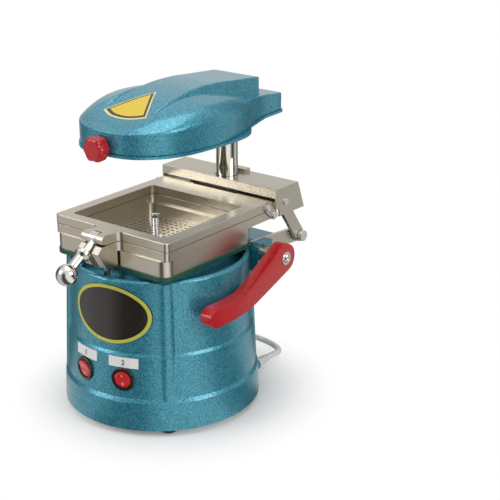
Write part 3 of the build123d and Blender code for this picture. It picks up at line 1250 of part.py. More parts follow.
def head_tail():
    """The tail over the column, under a top that slopes down to the back."""
    with BuildPart() as tail:
        add(tail_plan(HEAD_SHELL_Z, 0))
        extrude(amount=HEAD_TAIL_TOP_Z - HEAD_SHELL_Z)
        neck_half, neck_y = HEAD_TAIL_NECK
        with BuildSketch(side(-neck_half)):
            with BuildLine():
                Polyline(
                    (neck_y, HEAD_SHELL_Z),
                    (HEAD_TAIL_Y, HEAD_SHELL_Z),
                    (HEAD_TAIL_Y, HEAD_TAIL_END_Z),
                    (neck_y, HEAD_TAIL_TOP_Z),
                    close=True,
                )
            make_face()
        extrude(amount=2 * neck_half, mode=Mode.INTERSECT)
    return tail.part


def band_prism(closing_z, lift=0.0):
    """A block as wide as the band, from the band's curved top, which may be lifted, to a height."""
    top = [(y, z + lift) for y, z in BAND_TOP]
    with BuildPart() as prism:
        with BuildSketch(side(-BAND_HALF_X)):
            with BuildLine():
                Spline(*top)
                Polyline(top[-1], (top[-1][0], closing_z), (top[0][0], closing_z), top[0])
            make_face()
        extrude(amount=2 * BAND_HALF_X)
    return prism.part


outer_dome = head_dome(0)
cavity_dome = head_dome(HEAD_WALL)
tail = head_tail()
above_band = band_prism(ROOF_CREST_Z + BAND_CLEARANCE)
band = band_prism(BAND_FOOT_Z)
head_bush_r = COLUMN_R + RUNNING_FIT + HEAD_BUSH_WALL

with BuildPart() as heater_cavity:
    add(cavity_dome)
    split(bisect_by=Plane(origin=axis_point((0, HEAD_CAVITY_BACK_Y, 0)), z_dir=(0, -1, 0)))

with BuildPart() as head_shell:
    add(outer_dome)
    add(tail)
    add(above_band, mode=Mode.SUBTRACT)
    add(band)
    add(heater_cavity.part, mode=Mode.SUBTRACT)
    rod(level(HEAD_SHELL_Z, 0, COLUMN_Y), head_bush_r + SEAT_FIT, COLUMN_TOP_Z - HEAD_SHELL_Z, Mode.SUBTRACT)
    ceiling_h = HEAD_CEILING_Z - HEAD_SHELL_Z
    rod(level(HEAD_SHELL_Z, 0, COLUMN_Y), COLUMN_R + RUNNING_FIT, ceiling_h, Mode.SUBTRACT)
    knob_bore = Plane(origin=axis_point((0, HEAD_FRONT_Y - LAP, KNOB_Z)), x_dir=(1, 0, 0), z_dir=(0, 1, 0))
    rod(knob_bore, KNOB_STEM_R + SEAT_FIT, HEAD_WALL + 3 * LAP, Mode.SUBTRACT)
save(head_shell, "head_shell")

rim_oval = head_oval(HEAD_Z, -HEAD_RIM_PROUD)
rim_tail = tail_plan(HEAD_Z, HEAD_RIM_PROUD)
with BuildPart() as head_rim:
    add(rim_oval)
    extrude(amount=HEAD_RIM_T)
    add(rim_tail)
    extrude(amount=HEAD_RIM_T)
    rod(level(HEAD_Z, 0, MOUTH_Y), MOUTH_R, HEAD_RIM_T, Mode.SUBTRACT)
    rod(level(HEAD_Z, 0, COLUMN_Y), head_bush_r + SEAT_FIT, HEAD_RIM_T, Mode.SUBTRACT)
save(head_rim, "head_rim")

with BuildPart() as head_bush:
    rod(level(HEAD_Z, 0, COLUMN_Y), head_bush_r, COLUMN_TOP_Z - HEAD_Z)
    rod(level(HEAD_Z, 0, COLUMN_Y), COLUMN_R + RUNNING_FIT, COLUMN_TOP_Z - HEAD_Z, Mode.SUBTRACT)
save(head_bush, "head_bush")

with BuildPart() as reflector:
    reflector_r = MOUTH_R + REFLECTOR_LAP
    rod(level(HEAD_SHELL_Z, 0, MOUTH_Y), reflector_r, REFLECTOR_H)
    reflector_depth = REFLECTOR_H - REFLECTOR_T
    rod(level(HEAD_SHELL_Z, 0, MOUTH_Y), reflector_r - REFLECTOR_T, reflector_depth, Mode.SUBTRACT)
save(reflector, "reflector")

coil_first_x = -(COIL_RUNS - 1) / 2 * COIL_PITCH
coil_points = []
for run in range(COIL_RUNS):
    x = coil_first_x + run * COIL_PITCH
    ends = (-COIL_HALF_L, COIL_HALF_L) if run % 2 == 0 else (COIL_HALF_L, -COIL_HALF_L)
    for end in ends:
        coil_points.append(axis_point((x, MOUTH_Y + end, COIL_Z)))
with BuildPart() as heating_coil:
    with BuildLine() as coil_path:
        FilletPolyline(*coil_points, radius=COIL_PITCH / 2 - COIL_BEND_GAP)
    with BuildSketch(Plane(origin=coil_points[0], x_dir=(1, 0, 0), z_dir=(0, 1, 0))):
        Circle(COIL_R)
    sweep(path=coil_path.wires()[0])
save(heating_coil, "heating_coil")

with BuildPart() as coil_insulators:
    insulator_z = COIL_Z + COIL_R
    insulator_h = HEAD_SHELL_Z + REFLECTOR_H - REFLECTOR_T - insulator_z
    for run in range(COIL_RUNS):
        x = coil_first_x + run * COIL_PITCH
        for y in (MOUTH_Y - COIL_HALF_L / 2, MOUTH_Y + COIL_HALF_L / 2):
            rod(level(insulator_z, x, y), INSULATOR_R, insulator_h)
save(coil_insulators, "coil_insulators")

knob_seat_y = HEAD_FRONT_Y - KNOB_GAP
knob_plane = Plane(origin=axis_point((0, knob_seat_y, KNOB_Z)), x_dir=(1, 0, 0), z_dir=(0, -1, 0))
with BuildPart() as head_knob:
    with BuildSketch(knob_plane):
        Circle(KNOB_R)
        with PolarLocations(KNOB_R - KNOB_LOBE_R / 4, KNOB_LOBES):
            Circle(KNOB_LOBE_R)
    extrude(amount=KNOB_T)
    fillet(head_knob.faces().sort_by(Axis.Y)[0].edges(), KNOB_ROUND)
    rod(knob_plane.offset(-KNOB_STEM_L), KNOB_STEM_R, KNOB_STEM_L)
save(head_knob, "head_knob")

raised_band = band_prism(BAND_FOOT_Z, PLATE_T)
with BuildPart() as head_label:
    with BuildSketch(level(BAND_FOOT_Z)):
        with BuildLine():
            ThreePointArc((-PLATE_HALF_X, PLATE_CORNER_Y), (0, PLATE_BOW_Y), (PLATE_HALF_X, PLATE_CORNER_Y))
            Polyline((PLATE_HALF_X, PLATE_CORNER_Y), (0, PLATE_APEX_Y), (-PLATE_HALF_X, PLATE_CORNER_Y))
        make_face()
    extrude(amount=2 * BAND_CLEARANCE)
    add(raised_band, mode=Mode.INTERSECT)
    add(band, mode=Mode.SUBTRACT)
save(head_label, "head_label")

# --- Mains cord: strain relief, tube, coil, tail and plug ---


def cord_radii(route):
    """The corner radii of a cord's route, each as large as its two runs allow."""
    points = [Vector(*point) for point in route]
    radii = []
    for before, corner, after in zip(points, points[1:], points[2:]):
        arriving = corner - before
        leaving = after - corner
        half_turn = radians(arriving.get_angle(leaving)) / 2
        radii.append(BEND_SHARE * min(arriving.length, leaving.length) / tan(half_turn))
    return radii


def cord_path(route):
    """The plane across a cord's start, and its path of straight runs and arcs."""
    points = [axis_point(point) for point in route]
    radii = cord_radii(route)
    print("cord radii", [round(radius, 1) for radius in radii])
    with BuildLine() as path:
        FilletPolyline(*points, radius=radii)
    return Plane(origin=points[0], z_dir=points[1] - points[0]), path.wires()[0]


relief_start = Plane(
    origin=axis_point((CORD_X, CORD_BOSS_Y, CORD_EXIT_Z)), x_dir=(1, 0, 0), z_dir=(0, 1, 0)
)
with BuildPart() as cord_gland:
    rod(relief_start, RELIEF_FLANGE_R, RELIEF_FLANGE_T)
    with Locations(relief_start.offset(RELIEF_FLANGE_T)):
        Cone(
            RELIEF_R,
            CORD_R + RELIEF_TIP_T,
            RELIEF_L - RELIEF_FLANGE_T,
            align=(Align.CENTER, Align.CENTER, Align.MIN),
        )
save(cord_gland, "cord_gland")

coil_half_w = COIL_COLUMNS * CORD_R
with BuildPart() as cord_coil:
    rod(level(0, *COIL_CENTRE), COIL_TURN_R + coil_half_w, COIL_ROWS * 2 * CORD_R)
    rod(level(0, *COIL_CENTRE), COIL_TURN_R - coil_half_w, COIL_ROWS * 2 * CORD_R, Mode.SUBTRACT)
save(cord_coil, "cord_coil")

cord_start, cord_line = cord_path(CORD_ROUTE)
with BuildPart() as power_cord:
    with BuildSketch(cord_start):
        Circle(CORD_R)
    sweep(path=cord_line)
    add(cord_coil.part, mode=Mode.SUBTRACT)
save(power_cord, "power_cord")

tail_start, tail_line = cord_path(TAIL_ROUTE)
with BuildPart() as cord_tail:
    with BuildSketch(tail_start):
        Circle(CORD_R)
    sweep(path=tail_line)
    add(cord_coil.part, mode=Mode.SUBTRACT)
save(cord_tail, "cord_tail")

plug_from = axis_point(TAIL_ROUTE[-1])
plug_way = plug_from - axis_point(TAIL_ROUTE[-2])
plug_across = Vector(-plug_way.Y, plug_way.X, 0)
plug_start = Plane(origin=plug_from, x_dir=plug_across, z_dir=plug_way)
with BuildPart() as plug_body:
    with BuildSketch(plug_start):
        RectangleRounded(2 * PLUG_NECK_HALF, 2 * PLUG_NECK_HALF, PLUG_ROUND)
    with BuildSketch(plug_start.offset(PLUG_NECK_L)):
        RectangleRounded(2 * PLUG_HALF_W, 2 * PLUG_HALF_H, PLUG_ROUND)
    loft()
    with BuildSketch(plug_start.offset(PLUG_NECK_L)):
        RectangleRounded(2 * PLUG_HALF_W, 2 * PLUG_HALF_H, PLUG_ROUND)
    extrude(amount=PLUG_L - PLUG_NECK_L)
save(plug_body, "plug_body")

with BuildPart() as plug_pins:
    with BuildSketch(plug_start.offset(PLUG_L)):
        with GridLocations(PLUG_PIN_SPACING, 1, 2, 1):
            Circle(PLUG_PIN_R)
    extrude(amount=PLUG_PIN_L)
save(plug_pins, "plug_pins")
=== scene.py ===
"""Looks of a dental vacuum former: finishes, castings, marks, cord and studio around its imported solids."""

import logging
import math
from collections.abc import Sequence
from dataclasses import dataclass, field
from enum import Enum

import bpy
from mathutils import Matrix, Vector
from mathutils.bvhtree import BVHTree


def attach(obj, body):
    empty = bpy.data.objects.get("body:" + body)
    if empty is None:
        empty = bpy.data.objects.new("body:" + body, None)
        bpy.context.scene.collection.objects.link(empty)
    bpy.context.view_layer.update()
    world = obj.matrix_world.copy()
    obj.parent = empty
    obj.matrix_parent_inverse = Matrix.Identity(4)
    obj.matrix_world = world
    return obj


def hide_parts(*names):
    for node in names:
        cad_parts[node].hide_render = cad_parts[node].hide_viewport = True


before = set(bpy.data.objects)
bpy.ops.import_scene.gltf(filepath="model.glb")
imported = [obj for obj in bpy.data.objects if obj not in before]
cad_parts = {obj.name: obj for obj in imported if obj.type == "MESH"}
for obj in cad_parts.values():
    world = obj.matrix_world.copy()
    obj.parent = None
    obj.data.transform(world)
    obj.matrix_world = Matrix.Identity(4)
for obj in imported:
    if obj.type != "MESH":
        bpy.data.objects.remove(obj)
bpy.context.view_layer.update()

LOG = logging.getLogger("vacuum_former")

# Sizes below are in millimetres from the vertical axis of the round base, as they are made.
MM = 0.001
BASE_AXIS = Vector((-5.5, -12.421, 0.0))
FULL_TURN = 2 * math.pi
UP = Vector((0, 0, 1))
SIDEWAYS = Vector((1, 0, 0))
BACKWARD = Vector((0, 1, 0))
SHARP_ANGLE = math.radians(38)

# What every finish shares.
COAT_ROUGHNESS = 0.12
GRAIN_DETAIL = 2.0
BLOTCH_DETAIL = 3.0
BLOTCH_SHARE = 0.12
DIMPLE_SCALE = 0.8
LEAST_ROUGHNESS = 0.02
EDGE_SAMPLES = 6

Colour = tuple[float, float, float]
Point = tuple[float, float, float]
Plan = tuple[float, float]
Faces = list[tuple[int, ...]]
Shape = tuple[list[Vector], Faces]


def place(x: float, y: float, z: float) -> Vector:
    """A point of the shared frame, in metres, from millimetres about the foot of the base's axis."""
    return (BASE_AXIS + Vector((x, y, z))) * MM


def smooth_step(low: float, high: float, value: float) -> float:
    """A soft ramp from 0 at low to 1 at high."""
    share = min(max((value - low) / (high - low), 0.0), 1.0)
    return share * share * (3 - 2 * share)


def through(points: Sequence[Sequence[float]], steps: int, closed: bool = False) -> list[Vector]:
    """A smooth line through points, as centripetal Catmull-Rom spans.

    Args:
        points: The points that the line passes through.
        steps: How many pieces each span is cut into.
        closed: Whether the line comes back to its first point.

    Returns:
        The points of the line, the last one left out where it is closed.
    """
    knots = [Vector(point) for point in points]
    count = len(knots)
    if closed:
        padded = [knots[-1], *knots, knots[0], knots[1]]
    else:
        padded = [2 * knots[0] - knots[1], *knots, 2 * knots[-1] - knots[-2]]
    line = []
    for span in range(count if closed else count - 1):
        p0, p1, p2, p3 = padded[span : span + 4]
        t1 = (p1 - p0).length ** 0.5
        t2 = t1 + (p2 - p1).length ** 0.5
        t3 = t2 + (p3 - p2).length ** 0.5
        for step in range(steps):
            t = t1 + (t2 - t1) * step / steps
            a1 = p0 * ((t1 - t) / t1) + p1 * (t / t1)
            a2 = p1 * ((t2 - t) / (t2 - t1)) + p2 * ((t - t1) / (t2 - t1))
            a3 = p2 * ((t3 - t) / (t3 - t2)) + p3 * ((t - t2) / (t3 - t2))
            b1 = a1 * ((t2 - t) / t2) + a2 * (t / t2)
            b2 = a2 * ((t3 - t) / (t3 - t1)) + a3 * ((t - t1) / (t3 - t1))
            line.append(b1 * ((t2 - t) / (t2 - t1)) + b2 * ((t - t1) / (t2 - t1)))
    if not closed:
        line.append(knots[-1].copy())
    return line


def around(count: int) -> list[Plan]:
    """The cosine and sine of even angles, once round."""
    return [(math.cos(FULL_TURN * i / count), math.sin(FULL_TURN * i / count)) for i in range(count)]


def squared(part: float, power: float) -> float:
    """A sine or cosine bent towards a squarer outline."""
    return math.copysign(abs(part) ** power, part)


# --- Finishes ---


def add_node(
    tree: bpy.types.NodeTree, kind: str, inputs: dict[int | str, object] | None = None, **settings: object
) -> bpy.types.Node:
    """Adds a shader node, with its values and links.

    Args:
        tree: The nodes of a material or the world.
        kind: The node's type, without the words ShaderNode.
        inputs: What each input gets, a plain value or the socket that feeds it.
        settings: The node's own settings.

    Returns:
        The node.
    """
    made = tree.nodes.new(f"ShaderNode{kind}")
    for name, value in settings.items():
        setattr(made, name, value)
    for key, value in (inputs or {}).items():
        if isinstance(value, bpy.types.NodeSocket):
            tree.links.new(value, made.inputs[key])
        else:
            made.inputs[key].default_value = value
    return made


class Surface(Enum):
    """How a finish breaks up the light that falls on it."""

    HAMMERTONE = "hammertone"
    SATIN = "satin"
    POLISHED = "polished"
    MOULDED = "moulded"
    RUBBER = "rubber"
    FILM = "film"


@dataclass(frozen=True)
class Texture:
    """The pattern of one kind of surface: grain per metre, stretch, bump and spread of roughness."""

    grain: float
    blotch: float
    stretch: Point
    bump: float
    depth: float
    rough_spread: float
    fleck_low: float
    fleck_high: float


TEXTURES = {
    Surface.HAMMERTONE: Texture(780, 90, (1, 1, 1), 0.80, 0.0003, 0.06, 0.36, 0.64),
    Surface.SATIN: Texture(1500, 60, (1, 1, 1), 0.14, 0.00004, 0.08, 0.30, 0.75),
    Surface.POLISHED: Texture(900, 35, (1, 1, 0.12), 0.02, 0.00002, 0.025, 0.35, 0.70),
    Surface.MOULDED: Texture(620, 45, (1, 1, 1), 0.05, 0.00003, 0.05, 0.35, 0.75),
    Surface.RUBBER: Texture(1900, 80, (1, 1, 1), 0.22, 0.00006, 0.08, 0.35, 0.70),
    Surface.FILM: Texture(700, 50, (1, 1, 1), 0.04, 0.00002, 0.05, 0.40, 0.80),
}


@dataclass(frozen=True)
class Finish:
    """One finish of the machine, with its colours, gloss and kind of surface."""

    name: str
    surface: Surface
    colour: Colour
    fleck: Colour
    metallic: float
    roughness: float
    coat: float = 0.0
    edge: float = 0.0004

    def material(self) -> bpy.types.Material:
        """Makes the material on the first call, and gives the same one after that.

        Returns:
            The material, with its colour, roughness and bump from nodes.
        """
        known = bpy.data.materials.get(f"{self.name}_look")
        if known is not None:
            return known
        made = bpy.data.materials.new(f"{self.name}_look")
        made.use_nodes = True
        tree = made.node_tree
        shader = tree.nodes["Principled BSDF"]
        shader.inputs["Metallic"].default_value = self.metallic
        shader.inputs["Coat Weight"].default_value = self.coat
        shader.inputs["Coat Roughness"].default_value = COAT_ROUGHNESS
        texture = TEXTURES[self.surface]

        where = add_node(tree, "TexCoord").outputs["Object"]
        stretch = add_node(tree, "Mapping", {"Vector": where, "Scale": texture.stretch})
        spot = stretch.outputs["Vector"]
        grain = add_node(tree, "TexNoise", {"Vector": spot, "Scale": texture.grain, "Detail": GRAIN_DETAIL})
        patches = {"Vector": spot, "Scale": texture.blotch, "Detail": BLOTCH_DETAIL}
        blotch = add_node(tree, "TexNoise", patches)
        slow = add_node(tree, "Math", {0: blotch.outputs["Fac"], 1: BLOTCH_SHARE}, operation="MULTIPLY")
        parts = {0: grain.outputs["Fac"], 1: 1 - BLOTCH_SHARE, 2: slow.outputs[0]}
        blend = add_node(tree, "Math", parts, operation="MULTIPLY_ADD").outputs[0]
        flecks = {"Value": blend, "From Min": texture.fleck_low, "From Max": texture.fleck_high}
        ramp = add_node(tree, "MapRange", flecks).outputs["Result"]
        colours = {0: ramp, 6: (*self.colour, 1), 7: (*self.fleck, 1)}
        mix = add_node(tree, "Mix", colours, data_type="RGBA")
        tree.links.new(mix.outputs[2], shader.inputs["Base Color"])

        spread = texture.rough_spread
        lowest = max(self.roughness - spread, LEAST_ROUGHNESS)
        glosses = {"Value": blotch.outputs["Fac"], "To Min": lowest, "To Max": self.roughness + spread}
        gloss = add_node(tree, "MapRange", glosses)
        tree.links.new(gloss.outputs["Result"], shader.inputs["Roughness"])

        soft_edge = add_node(tree, "Bevel", {"Radius": self.edge}, samples=EDGE_SAMPLES)
        height = grain.outputs["Fac"]
        if self.surface is Surface.HAMMERTONE:
            height = self._dimples(tree, spot, texture)
        relief = {
            "Strength": texture.bump,
            "Distance": texture.depth,
            "Height": height,
            "Normal": soft_edge.outputs["Normal"],
        }
        bump = add_node(tree, "Bump", relief)
        tree.links.new(bump.outputs["Normal"], shader.inputs["Normal"])
        return made

    @staticmethod
    def _dimples(
        tree: bpy.types.NodeTree, spot: bpy.types.NodeSocket, texture: Texture
    ) -> bpy.types.NodeSocket:
        """The height of the rounded cells of hammered enamel."""
        sizes = {"Scale": texture.grain * DIMPLE_SCALE, "Vector": spot}
        return add_node(tree, "TexVoronoi", sizes, feature="SMOOTH_F1").outputs["Distance"]


ENAMEL = Finish(
    "hammertone_enamel", Surface.HAMMERTONE, (0.010, 0.180, 0.275), (0.095, 0.420, 0.530), 0.45, 0.29, 0.45
)
NICKEL = Finish(
    "cast_nickel", Surface.SATIN, (0.60, 0.55, 0.46), (0.70, 0.65, 0.56), 1.0, 0.30, edge=0.0006
)
SHEET = Finish("sheet_steel", Surface.SATIN, (0.58, 0.54, 0.46), (0.68, 0.64, 0.56), 1.0, 0.27, edge=0.0005)
CHROME = Finish("chrome", Surface.POLISHED, (0.74, 0.73, 0.69), (0.82, 0.81, 0.77), 1.0, 0.07, edge=0.0004)
GROUND = Finish("plain_steel", Surface.SATIN, (0.42, 0.42, 0.40), (0.55, 0.54, 0.52), 1.0, 0.30)
BRASS = Finish("bearing_brass", Surface.POLISHED, (0.60, 0.43, 0.20), (0.72, 0.54, 0.28), 1.0, 0.22)
RED = Finish(
    "red_plastic", Surface.MOULDED, (0.46, 0.004, 0.008), (0.56, 0.008, 0.014), 0.0, 0.24, 0.25, 0.0005
)
ROCKER_RED = Finish(
    "rocker_red", Surface.MOULDED, (0.60, 0.010, 0.015), (0.72, 0.030, 0.030), 0.0, 0.22, 0.6, 0.0003
)
BLACK = Finish(
    "black_plastic", Surface.MOULDED, (0.008, 0.008, 0.009), (0.018, 0.018, 0.020), 0.0, 0.28, 0.3
)
GASKET = Finish("green_gasket", Surface.RUBBER, (0.003, 0.060, 0.040), (0.010, 0.100, 0.070), 0.0, 0.45)
RUBBER = Finish("black_rubber", Surface.RUBBER, (0.010, 0.010, 0.010), (0.025, 0.025, 0.024), 0.0, 0.62)
WHITE_CORD = Finish("cord_white", Surface.MOULDED, (0.72, 0.72, 0.70), (0.80, 0.80, 0.78), 0.0, 0.38)
WHITE_FILM = Finish(
    "label_white", Surface.FILM, (0.80, 0.80, 0.78), (0.86, 0.86, 0.85), 0.0, 0.40, edge=0.0001
)
PALE_FILM = Finish(
    "label_pale", Surface.FILM, (0.74, 0.72, 0.42), (0.82, 0.80, 0.55), 0.0, 0.35, edge=0.0001
)
YELLOW_FILM = Finish(
    "label_yellow", Surface.FILM, (0.80, 0.56, 0.015), (0.88, 0.66, 0.03), 0.0, 0.32, 0.3, 0.0001
)
BORDER_FILM = Finish(
    "label_border", Surface.FILM, (0.045, 0.035, 0.006), (0.08, 0.06, 0.012), 0.0, 0.35, edge=0.0001
)
BADGE_FILM = Finish(
    "badge_black", Surface.FILM, (0.014, 0.012, 0.009), (0.030, 0.026, 0.020), 0.0, 0.22, 0.4, 0.0002
)
BADGE_RIM = Finish(
    "badge_yellow", Surface.FILM, (0.52, 0.50, 0.05), (0.66, 0.64, 0.12), 0.0, 0.30, 0.3, 0.0001
)
PRINT = Finish("print_grey", Surface.FILM, (0.05, 0.05, 0.05), (0.10, 0.10, 0.10), 0.0, 0.5, edge=0.0001)
MARK = Finish("mark_white", Surface.FILM, (0.70, 0.62, 0.60), (0.80, 0.72, 0.70), 0.0, 0.4, edge=0.0001)
REFLECTOR = Finish("reflector_metal", Surface.POLISHED, (0.70, 0.69, 0.66), (0.80, 0.79, 0.76), 1.0, 0.18)
MOTOR = Finish("motor_enamel", Surface.MOULDED, (0.015, 0.015, 0.017), (0.035, 0.035, 0.038), 0.0, 0.42)
ELEMENT = Finish("coil_steel", Surface.RUBBER, (0.10, 0.085, 0.075), (0.18, 0.15, 0.13), 0.7, 0.48)
CERAMIC = Finish("ceramic", Surface.RUBBER, (0.70, 0.68, 0.62), (0.80, 0.78, 0.73), 0.0, 0.60)

NODE_FINISHES = {
    ENAMEL: ("base_shell", "head_rim"),
    NICKEL: ("forming_platform", "lower_frame", "upper_frame", "slider_block"),
    SHEET: ("carriage_cover", "hinge_plate_l", "hinge_plate_r", "link_arm", "crank_arm", "perforated_plate"),
    CHROME: (
        "column", "clamp_ball", "clamp_bolt", "lever_washer", "lock_screw", "hinge_screws",
        "hinge_pins", "link_pivot_pin", "crank_pin",
    ),
    GROUND: ("clamp_pivot_pin", "guide_pin", "lever_shaft", "column_nut", "bottom_plate", "motor_rotor"),
    BRASS: ("guide_bush", "head_bush", "plug_pins"),
    BLACK: ("switch_bezel_1", "switch_bezel_2"),
    GASKET: ("platform_gasket",),
    RUBBER: ("foot_1", "foot_2", "foot_3", "foot_4", "sheet_seal"),
    WHITE_FILM: ("switch_label_1", "switch_label_2"),
    BADGE_FILM: ("badge",),
    REFLECTOR: ("reflector", "impeller", "fan_housing"),
    MOTOR: ("motor_can",),
    ELEMENT: ("heating_coil",),
    CERAMIC: ("coil_insulators",),
}


def dress_nodes() -> None:
    """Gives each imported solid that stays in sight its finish."""
    for finish, names in NODE_FINISHES.items():
        for name in names:
            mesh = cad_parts[name].data
            mesh.materials.clear()
            mesh.materials.append(finish.material())
            LOG.info("node %s dressed in %s", name, finish.name)


# --- Making pieces ---


def linked(name: str, data: bpy.types.ID) -> bpy.types.Object:
    """Makes an object and puts it into the scene.

    Args:
        name: Its name.
        data: Its mesh, curve, text, lamp or camera.

    Returns:
        The object.
    """
    made = bpy.data.objects.new(name, data)
    bpy.context.scene.collection.objects.link(made)
    return made


def skin(name: str, shape: Shape) -> bpy.types.Object:
    """Makes a mesh object without a finish.

    Args:
        name: Its name.
        shape: Its points, in metres, and its faces.

    Returns:
        The object.
    """
    vertices, faces = shape
    mesh = bpy.data.meshes.new(name)
    mesh.from_pydata([tuple(vertex) for vertex in vertices], [], faces)
    return linked(name, mesh)


def piece(
    name: str,
    shape: Shape,
    body: str,
    finish: Finish,
    replaced: Sequence[str] = (),
) -> bpy.types.Object:
    """Makes a mesh piece that rides on a body.

    Args:
        name: The piece's name.
        shape: Its points, in metres, and its faces.
        body: The body that carries it.
        finish: Its finish.
        replaced: The nodes that it stands for.

    Returns:
        The new object.
    """
    made = skin(name, shape)
    made.data.validate()
    return dress(made, body, finish, replaced)


def dress(
    made: bpy.types.Object,
    body: str,
    finish: Finish,
    replaced: Sequence[str] = (),
) -> bpy.types.Object:
    """Gives a piece its finish, shading, body and slot, and reports it.

    Args:
        made: The piece.
        body: The body that carries it.
        finish: Its finish.
        replaced: The nodes that it stands for.

    Returns:
        The same object.
    """
    made.data.materials.append(finish.material())
    if made.type == "MESH":
        made.data.shade_smooth()
        made.data.set_sharp_from_angle(angle=SHARP_ANGLE)
    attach(made, body)
    if replaced:
        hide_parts(*replaced)
    LOG.info("piece %s rides on %s", made.name, body)
    return made


def settle(made: bpy.types.Object) -> None:
    """Turns a piece's modifiers into its own mesh.

    Args:
        made: The piece.
    """
    graph = bpy.context.evaluated_depsgraph_get()
    mesh = bpy.data.meshes.new_from_object(made.evaluated_get(graph))
    made.modifiers.clear()
    made.data = mesh


def bridge(rings: Sequence[int], count: int) -> Faces:
    """Faces between closed rings of points.

    Args:
        rings: The number of the first point of each ring, in order.
        count: How many points each ring has.

    Returns:
        The four-sided faces.
    """
    return [
        (low + i, low + (i + 1) % count, high + (i + 1) % count, high + i)
        for low, high in zip(rings, rings[1:])
        for i in range(count)
    ]


def loft(sections: Sequence[Sequence[Vector]]) -> Shape:
    """A closed skin over sections that have equal numbers of points.

    Args:
        sections: The closed sections, in order.

    Returns:
        The points and faces, both ends closed.
    """
    count = len(sections[0])
    vertices = [vertex for section in sections for vertex in section]
    starts = [number * count for number in range(len(sections))]
    ends = [tuple(reversed(range(count))), tuple(range(starts[-1], starts[-1] + count))]
    return vertices, bridge(starts, count) + ends


def turned(
    profile: Sequence[Plan], origin: Vector, axis: Vector, count: int = 48
) -> Shape:
    """A turned shape about an axis.

    Args:
        profile: Radius and reach along the axis of each ring, in millimetres.
        origin: Where the axis starts, in metres.
        axis: The axis's direction.
        count: How many points go round.

    Returns:
        The points and faces.
    """
    along = axis.normalized()
    across = along.orthogonal().normalized()
    other = along.cross(across)
    sections = []
    for radius, reach in profile:
        centre = origin + along * reach * MM
        sections.append([centre + (across * c + other * s) * radius * MM for c, s in around(count)])
    return loft(sections)


# --- Mains cord ---


